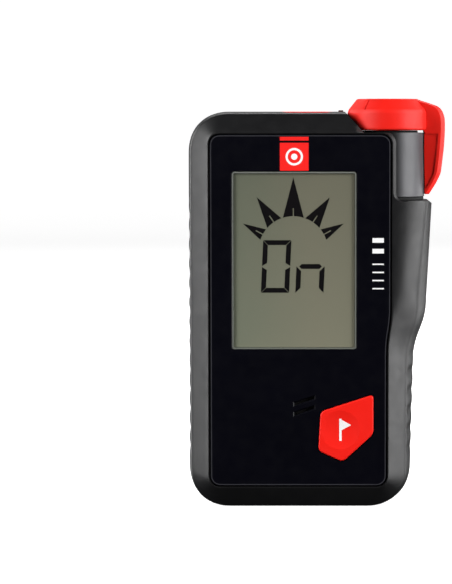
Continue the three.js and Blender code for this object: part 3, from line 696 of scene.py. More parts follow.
def bezel_ring(face_line, side, t):
    """One ring of the bezel, t of the way from the edge to the face."""
    ring = []
    for x, z in blend_lines(EDGE_LINE, face_line, t):
        y = EDGE_DEPTH + (HALF_DEPTH - EDGE_DEPTH) * (1 - (1 - t) ** bezel_roundness(x, z))
        ring.append((x, side * y, z))
    return ring


def rounding(before, middle, after, steps=4):
    """Rings that round off the edge at the middle ring."""
    rings = []
    for k in range(1, steps):
        t = k / steps
        weights = ((1 - t) ** 2, 2 * t * (1 - t), t * t)
        rings.append([tuple(sum(w * c for w, c in zip(weights, coords)) for coords in zip(p, q, r))
                      for p, q, r in zip(before, middle, after)])
    return rings


def shell_rings(side, face_line):
    """Rings from the seam to the face. The channel for the seam band is the first step."""
    channel = BAND_DEPTH + 0.2
    rings = [
        case_ring(SEAM_LINE, side * SEAM_GAP, channel),
        case_ring(SEAM_LINE, side * (BAND_HALF_WIDTH + 0.1), channel),
        case_ring(SEAM_LINE, side * (BAND_HALF_WIDTH + 0.11)),
    ]
    for y in (1.6, 2.4, 3.2, 4.2, 5.2, 6.0, 6.8, 7.3):
        t = ((y - 1.1) / (EDGE_DEPTH - 1.1)) ** 1.6
        rings.append(case_ring(blend_lines(SEAM_LINE, EDGE_LINE, t), side * y))
    wall = rings[-1]
    chamfer = bezel_ring(face_line, side, 0.1)
    rings += rounding(wall, bezel_ring(face_line, side, 0), chamfer) + [chamfer]
    rings += [bezel_ring(face_line, side, t) for t in (0.2, 0.3, 0.4, 0.5, 0.6, 0.7, 0.8, 0.88, 0.95, 1)]
    return rings


def cavity(side, end):
    """The hollow of one shell, without the head of the column and the screw posts."""
    rings = [[(x, y, z) for x, z in outline] for outline, y in (
        (CAVITY_LINE[::3], -side), (CAVITY_LINE[::3], side * 5.5), (CAVITY_FACE_LINE[::3], side * end))]
    post = [(0, -12), (2.5, -12), (2.5, 12), (0, 12)]
    posts = [spun(post, (x, 0, z), "Y", 20) for x, z in case_screws()]
    under_cap = block(6.4, PAST_SIDE, -12, 12, 96.8, PAST_TOP)
    column_head = block(16, PAST_SIDE, -12, 12, 81.2, PAST_TOP)
    return cut(loft(rings), under_cap, column_head, *posts)


def case_screws():
    """Each case screw's place, from the frame."""
    places = []
    for name in sorted(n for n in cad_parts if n.startswith("case_screw")):
        low, high = box_mm(name)
        places.append(((low[0] + high[0]) / 2, (low[2] + high[2]) / 2))
    return places


def notch_outline(left, bottom, radius):
    """The recess seen from the front: round the plate's corner, down its side wall and, by a round
    corner, along its floor."""
    x = PLATE["right"] - PLATE["radius"]
    z = PLATE["top"] - PLATE["radius"]
    reach = left - x
    return ([(PAST_SIDE, PAST_TOP), (x, PAST_TOP)]
            + corner((x, z + reach), (left, z + reach), (left, z), 12, 0.55)
            + corner((left, bottom + radius), (left, bottom), (left + radius, bottom), 12)
            + [(left + radius, bottom), (PAST_SIDE, bottom)])


def switch_space():
    """The seat under the cap and the recess that the lever sweeps through."""
    depth = 10.6
    foot, head = 12.7, -3.6
    seat = prism([(foot, SEAT_Z), (PAST_SIDE, SEAT_Z), (PAST_SIDE, PAST_TOP), (head, PAST_TOP)],
                 PAST_FRONT, PAST_BACK)
    seat_edge = stepped(
        lambda g: [(foot - g, SEAT_Z), (14, SEAT_Z), (10, PAST_TOP), (head - g, PAST_TOP)],
        [(PAST_FRONT, 1.6), (-HALF_DEPTH, 1.6), (-10.2, 0)])
    well = spun([(0, SEAT_Z), (SEAT_RADIUS, SEAT_Z), (SEAT_RADIUS, BODY_TOP - 0.4),
                 (SEAT_RADIUS + 0.6, BODY_TOP + 0.2), (SEAT_RADIUS + 0.6, PAST_TOP), (0, PAST_TOP)],
                (AXIS_X, 0, 0))
    rim, wall = RECESS_WALL_X - 0.15, RECESS_WALL_X + 0.65
    wide = notch_outline(rim, LEDGE_Z - 0.5, 3.2)
    deep = notch_outline(wall, LEDGE_Z + 0.15, 2.2)
    recess = loft([upright(outline, y) for y, outline in (
        (PAST_FRONT, wide), (-HALF_DEPTH, wide), (-depth, deep),
        (depth, deep), (HALF_DEPTH, wide), (PAST_BACK, wide))])
    core = [(0, 80), (RECESS_RADIUS - 0.9, 80), (RECESS_RADIUS - 0.9, RECESS_FLOOR - 0.1),
            (RECESS_RADIUS - 0.12, RECESS_FLOOR), (RECESS_RADIUS, RECESS_FLOOR + 0.12),
            (RECESS_RADIUS, 121), (0, 121)]
    recess = cut(recess, spun(core, (AXIS_X, 0, 0)))
    shoulder = prism([(30.3, LEDGE_Z + 0.2), (34, LEDGE_Z + 0.2), (34, 80.4)], PAST_FRONT, PAST_BACK)
    return [seat, seat_edge, well, recess, shoulder]


def cap_wiper():
    """The felt ring that the cap turns on, and a dark ring in the groove under the recess: painted shade."""
    ring = spun([(7.5, SEAT_Z - 0.05), (8.3, SEAT_Z - 0.05), (8.3, 102.2), (8.15, 102.34), (7.65, 102.34),
                 (7.5, 102.2)], (AXIS_X, 0, 0), steps=80)
    finish("cap_wiper", ring, RUBBER, "case")
    # Painted shade: a dark ring fills the groove under the recess.
    low = RECESS_FLOOR - 0.9
    seal = spun([(9.15, low), (9.75, low), (9.9, low + 0.15), (9.9, RECESS_FLOOR - 0.2),
                 (9.75, RECESS_FLOOR - 0.05), (9.15, RECESS_FLOOR - 0.05)], (AXIS_X, 0, 0), steps=80)
    finish("recess_groove_shade", seal, RUBBER, "case")


def bore():
    """The hole down the column for the switch's shaft and its detent."""
    wide, narrow = 8.7, 4.6
    return spun([(0, 78), (wide, 78), (wide, 95.5), (narrow, 95.5), (narrow, 110), (0, 110)],
                (AXIS_X, 0, 0), steps=48)


def hex_outline(grow):
    """The top insert's six sides, in X and Y."""
    low, high = box_mm("top_insert")
    shoulder = 2.6
    half = high[1]
    points = [(low[0], 0), (low[0] + shoulder, -half), (high[0] - shoulder, -half),
              (high[0], 0), (high[0] - shoulder, half), (low[0] + shoulder, half)]
    return rounded(grown(points, grow), 0.9)


def pointer_outline(grow):
    """The small arrow beside the cap, in X and Y."""
    return grown([(5.9, -1.3), (7.3, 0), (5.9, 1.3)], grow)


def top_pockets():
    """The hollows that the insert and the arrow sit in."""
    return [tower(hex_outline(0.12), 106.05, 110), tower(pointer_outline(0.1), 106.5, 110)]


def button_outline(grow):
    """The mark button's five sides, in X and Z."""
    return rounded(grown(BUTTON, grow), 1.15 + grow)


def front_shell():
    """The front shell, with the faceplate's pocket and its openings."""
    w = WINDOW
    pocket = prism(plate_outline(PLATE_GAP), POCKET_FLOOR, PAST_FRONT)
    bm = cut(loft(shell_rings(-1, FACE_LINE)), cavity(-1, -FLOOR_BACK), pocket,
             block(w["left"] - 1, w["right"] + 1, PAST_FRONT, -5, w["bottom"] - 1, w["top"] + 1),
             prism(button_outline(0.25), PAST_FRONT, -5), prism(circle(*SPEAKER, 3.4), PAST_FRONT, -5),
             *switch_space(), bore(), *top_pockets())
    finish("front_case", bm, CASE_PLASTIC, "case", ["front_shell"])


def door_outline(grow):
    """The battery door in X and Z: round lower corners and a round tab on top for its screw."""
    low, high = box_mm("battery_door")
    top = 25.0
    radius = 4.5 + grow
    tab = (-4.6, 25.5)
    start = asin((top + grow - tab[1]) / radius)
    turns = [start + (pi - 2 * start) * i / 24 for i in range(25)]
    arc = [(tab[0] + radius * cos(a), tab[1] + radius * sin(a)) for a in turns]
    x0, x1, z0 = low[0] - grow, high[0] + grow, low[2] - grow
    r = 3.0
    return (corner((x0, z0 + r), (x0, z0), (x0 + r, z0), 8)
            + corner((x1 - r, z0), (x1, z0), (x1, z0 + r), 8)
            + corner((x1, top + grow - 1.2), (x1, top + grow), (x1 - 1.2, top + grow), 5)
            + arc + corner((x0 + 1.2, top + grow), (x0, top + grow), (x0, top + grow - 1.2), 5))


def rear_shell():
    """The rear shell, with the battery tub and the door's pocket."""
    door_bed = prism(rectangle(-32.2, 22.6, 2.6, 26.6), 8, 12)
    tab_bed = prism(circle(-4.6, 25.5, 5.7), 8.4, 12)
    tub_walls = prism(rectangle(-32.2, 22.4, 6.2, 22.6), -3, 12)
    screw_boss = spun([(0, 2), (3, 2), (3, 12), (0, 12)], DOOR_SCREW, "Y", 32)
    hollow = cut(cavity(1, 9.9), door_bed, tab_bed, tub_walls, screw_boss)
    tub = prism(rectangle(-30, 22.2, 6.3, 22.5), -5.2, 4)
    cutters = [
        prism(rectangle(-31.4, 21.7, 7, 21.8), -4.7, 8.2),
        prism(rounded(rectangle(-29.2, 20.3, 7, 21.8), 0.8), 0, PAST_BACK),
        prism(door_outline(0.22), 10, 14),
        spun([(0, 3), (1.7, 3), (1.7, PAST_BACK), (0, PAST_BACK)], DOOR_SCREW, "Y", 32),
        block(-24.2, 14.2, 11.15, PAST_BACK, 49.8, 80.2),
    ]
    screw_hole = [(0, -1), (1.3, -1), (1.3, 9.7), (2.3, 9.7), (2.3, 11.2), (2.9, 12), (0, 12)]
    cutters += [spun(screw_hole, (x, 0, z), "Y", 32) for x, z in case_screws()]
    cutters += switch_space() + [bore()] + top_pockets()
    steps = [("DIFFERENCE", hollow), ("UNION", tub)]
    bm = combine(loft(shell_rings(1, REAR_FACE)), steps + [("DIFFERENCE", c) for c in cutters])
    finish("rear_case", bm, CASE_PLASTIC, "case", ["rear_shell"])


def seam_band():
    """The red strip: a crowned section carried along the seam, following the grip's grooves."""
    points = SEAM_LINE
    count = len(points)
    kept = [i for i in range(count) if in_band(*points[i])]
    start = next(i for i in kept if (i - 1) % count not in kept and points[i][1] > 90)
    order = [(start + k) % count for k in range(len(kept))]
    half = BAND_HALF_WIDTH
    section = [(-half, -BAND_DEPTH), (-half, -0.1), (0.15 - half, 0),
               (half - 0.15, 0), (half, -0.1), (half, -BAND_DEPTH)]
    rings = []
    for i in order:
        x, z = points[i]
        n = inward(points, i)
        depth = rib_depth(x, z, 0)
        rings.append([(x + n.x * (depth - out), y, z + n.y * (depth - out)) for y, out in section])
    # Each end runs on half way up the channel's sloping end.
    ends = ((order[0], order[0] - 1, 0), (order[-1], (order[-1] + 1) % count, len(rings) + 1))
    for end, beyond, place in ends:
        x = (points[end][0] + points[beyond][0]) / 2
        z = (points[end][1] + points[beyond][1]) / 2
        n = inward(points, end)
        rings.insert(place, [(x - n.x * out / 2, y, z - n.y * out / 2) for y, out in section])
    finish("seam_strip", loft(rings), RED_BAND, "case", ["seam_band"])


# ---- Faceplate ------------------------------------------------------------------------------
def slot_outline(x, z, grow=0.0):
    """A slanted speaker slot with upright ends."""
    half, rise, thick = 2.7 + grow, 0.98, 0.4 + grow
    return [(x - half, z - rise - thick), (x + half, z + rise - thick),
            (x + half, z + rise + thick), (x - half, z - rise + thick)]


def slot_cutter(x, z):
    """The slot with a chamfered mouth."""
    levels = [(-5, 0), (PLATE_FRONT + 0.3, 0), (PLATE_FRONT - 0.2, 0.5)]
    return stepped(lambda growth: slot_outline(x, z, growth), levels)


def window_outline(grow):
    """The window's opening, with its corners rounded, in X and Z."""
    w = WINDOW
    return grown(rounded(rectangle(w["left"], w["right"], w["bottom"], w["top"]), 0.8), grow)


def faceplate():
    """The black plate, with its window, button opening and speaker slots, and a fine paler edge strip: a
    painted highlight where the plate's edge catches the light.
    """
    front = PLATE_FRONT
    plate = stepped(plate_outline, [(PLATE_BACK, 0), (front + 0.22, 0),
                                    (front + 0.07, -0.07), (front, -0.22)])
    window_cut = stepped(window_outline, [(-9, 0), (front + 0.12, 0), (front - 0.3, 0.42)])
    slots = [slot_cutter(SPEAKER[0], z) for z in SLOTS_Z]
    bm = cut(plate, window_cut, prism(button_outline(0.2), PAST_FRONT, -5), *slots)
    finish("front_plate", bm, FACE_BLACK, "case", ["faceplate"])
    # Painted highlight: a thin paler strip just inside the plate's edge.
    edge = cut(prism(plate_outline(-0.24), front + 0.02, front - 0.01),
               prism(plate_outline(-0.46), PAST_FRONT, -9))
    finish("plate_edge_highlight", edge, PLATE_EDGE_HIGHLIGHT, "case")


def display_window():
    """The clear window, with a pale rim round it: a painted highlight where the window's bevelled edge
    catches the light.
    """
    pane = prism(window_outline(-0.5), -10.82, -11.1)
    finish("window_pane", pane, CLEAR, "case", ["display_window"])
    # Painted highlight: the pale rim stands for the bevelled edge catching the light.
    rim = cut(stepped(window_outline, [(-10.2, -0.06), (-11.12, -0.06), (-11.2, -0.14)]),
              prism(window_outline(-0.42), PAST_FRONT, -9))
    finish("window_rim_highlight", rim, WINDOW_RIM_HIGHLIGHT, "case")


def flat_mark(name, outlines, y, material):
    """Printed shapes, joined into one piece, standing on the surface at depth y."""
    finish(name, joined(prism(outline, y, y - INK) for outline in outlines), material, "case")


def plate_marks():
    """The red label with a plain ring and dot, and white tick marks beside the display."""
    label = [rectangle(-9.95, -2.2, 91.6, 99.1), rectangle(-9.95, -2.2, 99.7, 100.7)]
    flat_mark("red_label", label, PLATE_FRONT, RED_INK)
    centre = (-6.07, 95.35)
    label_front = PLATE_FRONT - INK
    ring = cut(prism(circle(*centre, 2.35, 64), label_front, PLATE_FRONT - 2 * INK),
               prism(circle(*centre, 1.75, 64), PLATE_FRONT + 1, PLATE_FRONT - 1))
    finish("label_ring", ring, WHITE_INK, "case")
    flat_mark("label_dot", [circle(*centre, 0.85, 40)], label_front, WHITE_INK)
    ticks = [rectangle(15.0, 18.1, z, z + 0.36) for z in (59.6, 61.8, 64.0, 66.2)]
    ticks += [rectangle(15.0, 18.1, z, z + 1.25) for z in (69.3, 72.2)]
    flat_mark("side_ticks", ticks, PLATE_FRONT, WHITE_INK)


# ---- Display --------------------------------------------------------------------------------
def lcd_ground():
    """The panel, with its front glass standing forward into the window's opening."""
    low, high = box_mm("lcd_panel")
    panel = bevel(block(low[0], high[0], low[1], high[1], low[2], high[2]), 0.15)
    w = WINDOW
    inset = 0.5
    glass = block(w["left"] + inset, w["right"] - inset, LCD_FRONT, low[1] + 0.3,
                  w["bottom"] + inset, w["top"] - inset)
    bm = combine(panel, [("UNION", bevel(glass, 0.12))])
    finish("lcd_glass", bm, LCD, "case", ["lcd_panel"])


def lcd_wedges():
    """Five direction wedges fanned over the arc, each with a light slit up from its base."""
    centre = Vector((-6.33, 69.95))
    arc = 9.4
    shapes = []
    for angle, tip, half in ((0, 19.8, 2.8), (34.2, 17.5, 2.3), (-34.2, 17.5, 2.3),
                             (61.5, 15.5, 1.6), (-61.5, 15.5, 1.6)):
        out = Vector((sin(radians(angle)), cos(radians(angle))))
        side = Vector((out.y, -out.x))
        slit, slit_top = 0.15, arc + 2.1
        spread = asin(half / arc)
        base = []
        for k in range(7):
            a = -spread + 2 * spread * k / 6
            base.append(centre + out * (arc * cos(a)) + side * (arc * sin(a)))
        foot = centre + out * arc
        top = centre + out * slit_top
        left = base[:3] + [foot - side * slit, top - side * slit]
        right = [top + side * slit, foot + side * slit] + base[4:]
        peak = centre + out * tip
        shapes.append([tuple(p) for p in [peak] + left + right])
    return shapes


def segment(x, z, along, length, lean, ends=(1, 1)):
    """One bar of a figure. The bar's outer side is its left when the ends are above 0 and its
    right when they are below 0, and is longer by that share of the bar's half thickness."""
    h = 0.65
    first, last = ends
    points = [(-h * first, h), (length + h * last, h), (length - h * last, -h), (h * first, -h)]
    if along == "z":
        points = [(-b, a) for a, b in points]
    return [(x + a + lean * (z + b - 58.8), z + b) for a, b in points]


def pointed_bar(x, z, length, lean):
    """A level bar with pointed ends."""
    h = 0.65
    points = [(0, 0), (h, h), (length - h, h), (length, 0), (length - h, -h), (h, -h)]
    return [(x + a + lean * (z + b - 58.8), z + b) for a, b in points]


def lcd_figures():
    """The figures: a nought, with a notch half way up each side, and a small n."""
    lean = 0.045
    gap = 0.09
    left, right, low, middle, high = -14.45, -8.15, 59.3, 65.75, 72.2
    wide = right - left - 2 * gap
    tall = middle - low - 0.55 - gap
    shift = 9.3
    return [
        segment(left + gap, low, "x", wide, lean, (-1, -1)),
        segment(left + gap, high, "x", wide, lean, (1, 1)),
        segment(left, low + gap, "z", tall, lean, (1, 0.6)),
        segment(left, middle + 0.55, "z", tall, lean, (0.6, 1)),
        segment(right, low + gap, "z", tall, lean, (-1, -0.6)),
        segment(right, middle + 0.55, "z", tall, lean, (-0.6, -1)),
        pointed_bar(left + shift + gap, middle, wide, lean),
        segment(left + shift, low, "z", tall, lean, (1, 1)),
        segment(right + shift, low, "z", tall, lean, (-1, -1)),
    ]


def lcd_marks():
    """The dark wedges and figures on the display."""
    flat_mark("lcd_wedges", lcd_wedges(), LCD_FRONT, LCD_DARK)
    flat_mark("lcd_figures", lcd_figures(), LCD_FRONT, LCD_DARK)


# ---- Mark button ----------------------------------------------------------------------------
def thumb_dish(lift=0.0):
    """The hollow in the button, as the body that cuts it."""
    front = -HALF_DEPTH - lift
    reach, depth = 5.3, 0.42
    curve = [(r, front + depth * (1 - (r / reach) ** 2)) for r in (8 * i / 20 for i in range(21))]
    return spun(curve + [(8, front - 3), (0, front - 3)], (BUTTON_CENTRE[0], 0, BUTTON_CENTRE[1]), "Y", 96)


def mark_button():
    """The five-sided button: soft edges, a shallow round dish for the thumb and a printed flag."""
    front = -HALF_DEPTH
    flange = prism(button_outline(0.9), -8.65, -7.95)
    body = stepped(button_outline, [(-8.0, 0), (front + 0.4, 0), (front + 0.24, -0.04),
                                    (front + 0.11, -0.13), (front + 0.03, -0.26), (front, -0.42)])
    bm = combine(body, [("UNION", flange), ("DIFFERENCE", thumb_dish())])
    finish("mark_key", bm, RED_BUTTON, "mark_button_body", ["mark_button"], smooth=30)
    pole = prism(rectangle(6.1, 6.72, 18.4, 24.4), front + 0.5, front - 1)
    pennant = prism([(6.1, 24.45), (9.3, 22.7), (6.1, 20.95)], front + 0.5, front - 1)
    flag = combine(pole, [("UNION", pennant), ("DIFFERENCE", thumb_dish(0.03))])
    finish("mark_flag", flag, WHITE_INK, "mark_button_body")


# ---- Mode switch ----------------------------------------------------------------------------
def between(points, z):
    """The value at z on a line through (z, value) points."""
    for (z0, a), (z1, b) in zip(points, points[1:]):
        if z <= z1:
            return a + (b - a) * max(z - z0, 0) / (z1 - z0)
    return points[-1][1]


LEVER_OUTER = [(85.0, 30.7), (85.3, 30.9), (88.0, 32.6), (90.4, 33.75), (91.4, 34.0), (98.0, 34.75),
               (103.0, 35.0), (105.2, 34.95), (106.6, 34.7), (107.6, 34.25), (108.4, 33.7), (109.0, 32.9),
               (109.7, 31.0), (110.85, 27.4)]


def lever_half_width(z):
    """The lever narrows towards its foot."""
    return LEVER_HALF_WIDTH * (1 - 0.3 * (1 - smoothstep(84, 99, z)))


def lever():
    """The drop lever: a tapering finger with chamfered outer edges, sunk sides and a finger scoop."""
    levels = [85, 85.15, 85.4, 86, 87, 88, 89, 90, 90.6, 91.2, 92, 93.5, 95, 97, 99, 101.9, 102.4, 104.5,
              105.5, 106.3, 107, 107.6, 108.1, 108.5, 108.8, 109.05, 109.4, 109.8, 110.3, 110.8]
    rings = []
    for z in levels:
        low = smoothstep(84.8, 85.4, z) * 0.35 - 0.35
        half = lever_half_width(z) + low
        outer = between(LEVER_OUTER, z)
        root = 28.6 if z < 102 else 25.0
        side = [(root, half - 0.9), (root + 0.85, half), (outer - 1.2, half), (outer - 1.1, half - 0.06),
                (outer - 0.3, half - 0.95), (outer - 0.08, half - 1.3), (outer, half - 1.7)]
        ring = [(x, -y) for x, y in side] + [(x, y) for x, y in reversed(side)]
        rings.append([(x, y, z) for x, y in ring])
    fin = loft(rings)
    steps = []
    for sign in (-1, 1):
        panel = []
        for z in (86.6, 88, 90.4, 91.4, 93, 95, 97, 99, 101.5):
            inner_y = lever_half_width(z) - 0.26
            far = between(LEVER_OUTER, z) - 1.85
            panel.append([(27, sign * inner_y, z), (far - 0.35, sign * inner_y, z),
                          (far + 0.3, sign * (inner_y + 0.6), z), (27, sign * (inner_y + 0.6), z)])
        steps.append(("DIFFERENCE", loft(panel)))
    inner = 10.42
    clearance = spun([(0, 80), (inner, 80), (inner, 102.6), (0, 102.6)], (AXIS_X, 0, 0), steps=160)
    scoop = spun([(0, 0), (5, 0), (5.4, 1), (9, 14), (0, 14)], (26.2, 8.7, 101.5))
    return combine(fin, steps + [("DIFFERENCE", clearance), ("DIFFERENCE", scoop)])


def switch_cap():
    """The cap with its drop lever, in one moulding."""
    bottom = 102.4
    disc = 5.9
    cap = spun([
        (3.3, bottom), (CAP_RADIUS - 0.8, bottom), (CAP_RADIUS - 0.4, bottom + 0.1),
        (CAP_RADIUS - 0.12, bottom + 0.38), (CAP_RADIUS, bottom + 0.8),
        (CAP_RADIUS, CAP_FOLD - 0.7), (CAP_RADIUS - 0.05, CAP_FOLD - 0.4),
        (CAP_RADIUS - 0.3, CAP_FOLD + 0.3), (CAP_RADIUS - 0.42, CAP_FOLD + 0.5),
        (CAP_TOP_RADIUS + 0.12, HEIGHT - 0.45),
        (CAP_TOP_RADIUS - 0.12, HEIGHT - 0.18), (CAP_TOP_RADIUS - 0.38, HEIGHT - 0.06),
        (CAP_TOP_RADIUS - 0.6, HEIGHT - 0.03), (disc + 0.12, HEIGHT - 0.03),
        (disc, HEIGHT - 0.15), (disc, 110.1),
        (3.2, 110.1), (3.2, 108.4), (1.6, 108.4), (1.6, 106.3), (3.3, 106.3)],
        (AXIS_X, 0, 0), steps=160)
    angle = radians(-127)
    top = Vector((CAP_TOP_RADIUS + 0.12, HEIGHT - 0.45))
    foot = Vector((CAP_RADIUS - 0.42, CAP_FOLD + 0.5))
    middle = (top + foot) / 2
    slope = atan2(top.y - foot.y, foot.x - top.x)
    tick = block(-1.75, 1.75, -0.16, 0.16, -0.4, 0.5)
    bmesh.ops.rotate(tick, cent=(0, 0, 0), matrix=Matrix.Rotation(slope, 3, "Y"), verts=tick.verts)
    bmesh.ops.translate(tick, vec=(middle.x, 0, middle.y), verts=tick.verts)
    bmesh.ops.rotate(tick, cent=(0, 0, 0), matrix=Matrix.Rotation(angle, 3, "Z"), verts=tick.verts)
    bmesh.ops.translate(tick, vec=(AXIS_X, 0, 0), verts=tick.verts)
    bm = combine(cap, [("UNION", lever()), ("DIFFERENCE", tick)])
    finish("mode_cap", bm, RED_PLASTIC, "mode_switch", ["switch_cap"], smooth=26)


def cap_disc():
    """The inset top disc, slightly dished, with a small notch toward the lever."""
    low, high = box_mm("switch_cap_disc")
    r = high[0] - AXIS_X
    top = high[2]
    disc = spun([(0, low[2]), (r, low[2]), (r, top - 0.14), (r - 0.1, top - 0.03), (r - 0.25, top),
                 (4.6, top), (3.0, top - 0.05), (0, top - 0.07)], (AXIS_X, 0, 0), steps=96)
    notch = block(AXIS_X + r - 1.1, AXIS_X + r + 1, -0.3, 0.3, top - 0.35, top + 1)
    finish("cap_disc", cut(disc, notch), RED_PLASTIC, "mode_switch", ["switch_cap_disc"])


def cap_marks():
    """Plain dial marks on the cap's top ring: one dot, a pair of dots and a bar."""
    radius = 7.0
    angles = [radians(a) for a in (120, 235, 245)]
    dots = [circle(AXIS_X + radius * cos(a), radius * sin(a), 0.32, 20) for a in angles]
    bar = rectangle(AXIS_X - radius - 0.3, AXIS_X - radius + 0.3, -1, 1)
    marks = joined(tower(outline, HEIGHT - 0.05, HEIGHT) for outline in dots + [bar])
    finish("cap_marks", marks, WHITE_INK, "mode_switch")


# ---- Top ------------------------------------------------------------------------------------
def top_insert():
    """The red insert, with a plain sunk outline of the device on its string."""
    low, high = box_mm("top_insert")
    top = high[2]
    levels = [(low[2], 0), (top - 0.25, 0), (top - 0.08, -0.06), (top, -0.24)]
    bm = loft([[(x, y, z) for x, y in hex_outline(g)] for z, g in levels])
    groove = top - 0.18
    left, right = -5.6, -1.0
    border = cut(tower(rounded(rectangle(left, right, -1.9, 1.9), 0.5), groove, 109),
                 tower(rounded(rectangle(left + 0.45, right - 0.45, -1.45, 1.45), 0.3), top - 0.4, 110))
    string = [block(x0, x1, -0.22, 0.22, groove, 109) for x0, x1 in ((-1.2, 1.6), (-8.6, -5.4))]
    finish("top_plug", cut(bm, border, *string), RED_PLASTIC, "case", ["top_insert"])
    pointer = tower(pointer_outline(0), 106.6, 107.9)
    finish("index_pointer", bevel(pointer, 0.15), GREY_PLASTIC, "case", ["switch_index"])


# ---- Battery door ---------------------------------------------------------------------------
def battery_door():
    """The door: flush with the back, with finger ridges and a dished hole for its screw."""
    low, high = box_mm("battery_door")
    outer = high[1]
    bm = stepped(door_outline, [(low[1], 0), (outer - 0.3, 0), (outer - 0.1, -0.08), (outer, -0.3)])
    screw_hole = spun([(0, 5), (1.75, 5), (1.75, 10.7), (3.2, 10.7), (3.2, outer - 0.2),
                       (3.5, outer + 0.2), (0, outer + 0.2)], DOOR_SCREW, "Y", 48)
    steps = [("INTERSECT", loft(shell_rings(1, REAR_FACE))), ("DIFFERENCE", screw_hole)]
    for i in range(7):
        z = 8.2 + 1.7 * i
        groove = prism(rounded(rectangle(8.6, 17.4, z, z + 0.7), 0.3), outer - 0.3, PAST_BACK)
        steps.append(("DIFFERENCE", groove))
    finish("battery_cover", combine(bm, steps), CASE_PLASTIC, "battery_door_body",
           ["battery_door"])


# ---- Rating plate ---------------------------------------------------------------------------
def rating_plate():
    """The blank plate on the back: round corners, a sunk border and plain printed rules."""
    low, high = box_mm("rear_label")
    face = high[1]

    def inset(by, radius):
        """The plate's outline, that far in from its edge."""
        return rounded(rectangle(low[0] + by, high[0] - by, low[2] + by, high[2] - by), radius)

    plate = stepped(lambda growth: grown(inset(0, 0.8), growth),
                    [(low[1], 0), (face - 0.08, 0), (face, -0.1)])
    border = cut(prism(inset(1, 0.8), face - 0.05, face + 1), prism(inset(1.35, 0.6), face - 1, face + 2))
    finish("rating_plate", cut(plate, border), GREY_PLASTIC, "case", ["rear_label"])
    rules = [rectangle(low[0] + 4, high[0] - 4 - 8 * (k == 3), low[2] + 6 + 4 * k, low[2] + 6.3 + 4 * k)
             for k in range(4)]
    flat_mark("plate_rules", rules, face + 0.02, GREY_INK)


# ---- Carried CAD nodes ----------------------------------------------------------------------
def carry():
    """The remaining CAD nodes keep their shape and get their finish."""
    finishes = {
        STEEL: ["processor_shield", "vibration_motor", "mark_switch", "battery_spring", "battery_door_screw",
                "switch_shaft", "switch_screw", "shaft_clip", "switch_magnet", "detent_spring", "detent_ball"]
               + [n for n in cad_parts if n.startswith("case_screw")],
        BRASS: ["battery_contact", "shaft_bush"],
        GREY_PLASTIC: ["detent_wheel", "radio_module"],
        WHITE_PLASTIC: ["lcd_backlight"],
        BLACK_PLASTIC: ["speaker", "speaker_membrane", "lcd_frame", "antenna_holder_lower",
                        "antenna_holder_upper"],
        RUBBER: ["zebra_strip", "button_mat", "battery_door_seal", "shaft_o_ring"],
        board_material(): ["main_board", "switch_sensor_board"],
        cell_material(): ["battery_cell"],
        ferrite_material(): ["antenna_x_core", "antenna_y_core", "antenna_z_core"],
        winding_material("Z"): ["antenna_x_coil"],
        winding_material("X"): ["antenna_y_coil"],
        winding_material("Y"): ["antenna_z_coil"],
    }
    for material, names in finishes.items():
        for name in names:
            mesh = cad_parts[name].data
            mesh.materials.clear()
            mesh.materials.append(material)


# ---- Stage ----------------------------------------------------------------------------------
def stage_material():
    """Matt white paper, lit evenly so that it stays pale."""
    n = Nodes("stage_white", (0.8, 0.8, 0.8), 0.9)
    n.shader.inputs["Emission Color"].default_value = (1, 1, 1, 1)
    n.shader.inputs["Emission Strength"].default_value = 0.85
    n.join(n.bump(n.noise(900.0, 3.0), 0.00002, 0.2), n.shader.inputs["Normal"])
    return n.material


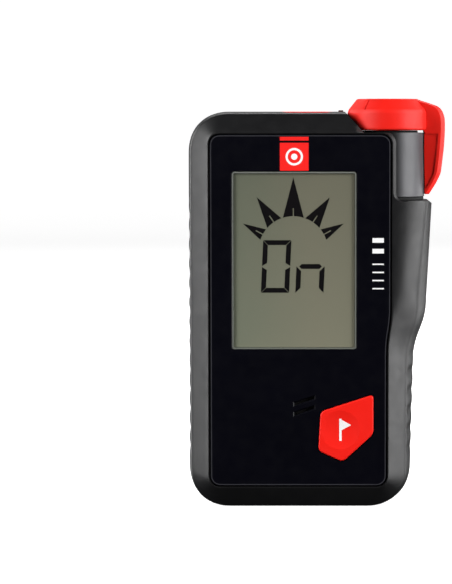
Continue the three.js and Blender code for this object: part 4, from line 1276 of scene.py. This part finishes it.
def stage():
    """A pale floor that curves up into a wall all round. It gives no light or reflection of its own."""
    flat, bend, high = 1.5, 0.5, 3.0
    profile = [(0, 0), (flat, 0)]
    profile += [(flat + bend * sin(a), bend - bend * cos(a)) for a in (pi / 16 * k for k in range(1, 9))]
    profile.append((flat + bend, high))
    bm = bmesh.new()
    verts = [bm.verts.new((r, 0, z)) for r, z in profile]
    edges = [bm.edges.new(pair) for pair in zip(verts, verts[1:])]
    bmesh.ops.spin(bm, geom=verts + edges, cent=(0, 0, 0), axis=(0, 0, 1), angle=2 * pi, steps=96,
                   use_merge=True)
    bmesh.ops.remove_doubles(bm, verts=bm.verts, dist=1e-5)
    bmesh.ops.recalc_face_normals(bm, faces=bm.faces)
    mesh = bpy.data.meshes.new("floor")
    bm.to_mesh(mesh)
    bm.free()
    mesh.shade_smooth()
    mesh.materials.append(stage_material())
    floor = bpy.data.objects.new("floor", mesh)
    bpy.context.scene.collection.objects.link(floor)
    floor.visible_glossy = False
    floor.visible_diffuse = False


def area_light(name, place, target, size, power):
    """A soft box that points at the target and isn't seen itself."""
    data = bpy.data.lights.new(name, "AREA")
    data.shape = "RECTANGLE"
    data.size, data.size_y = size
    data.energy = power
    light = bpy.data.objects.new(name, data)
    light.location = place
    light.rotation_euler = (Vector(target) - Vector(place)).to_track_quat("-Z", "Y").to_euler()
    light.visible_camera = False
    bpy.context.scene.collection.objects.link(light)


def lights():
    """Soft boxes left and right, fainter ones above and behind, and a little light all round."""
    middle = (0, 0, 0.055)
    area_light("left_box", (-0.8, -0.42, 0.28), middle, (0.4, 0.9), 15)
    area_light("right_box", (0.8, -0.42, 0.28), middle, (0.3, 0.9), 12)
    area_light("right_rim", (0.88, -0.14, 0.1), middle, (0.3, 0.9), 7)
    area_light("top_box", (0, 0.7, 0.75), middle, (0.9, 0.3), 4)
    area_light("back_left", (-0.75, 0.45, 0.15), middle, (0.4, 0.8), 6)
    area_light("back_right", (0.75, 0.45, 0.15), middle, (0.4, 0.8), 4)
    world = bpy.data.worlds.new("studio")
    world.use_nodes = True
    background = world.node_tree.nodes["Background"]
    background.inputs["Color"].default_value = (1, 1, 1, 1)
    background.inputs["Strength"].default_value = 0.025
    bpy.context.scene.world = world
    bpy.context.scene.view_settings.view_transform = "Standard"


# ---- Assembly -------------------------------------------------------------------------------
add_camera()
front_shell()
rear_shell()
seam_band()
faceplate()
display_window()
plate_marks()
lcd_ground()
lcd_marks()
mark_button()
cap_wiper()
switch_cap()
cap_disc()
cap_marks()
top_insert()
battery_door()
rating_plate()
carry()
stage()
lights()
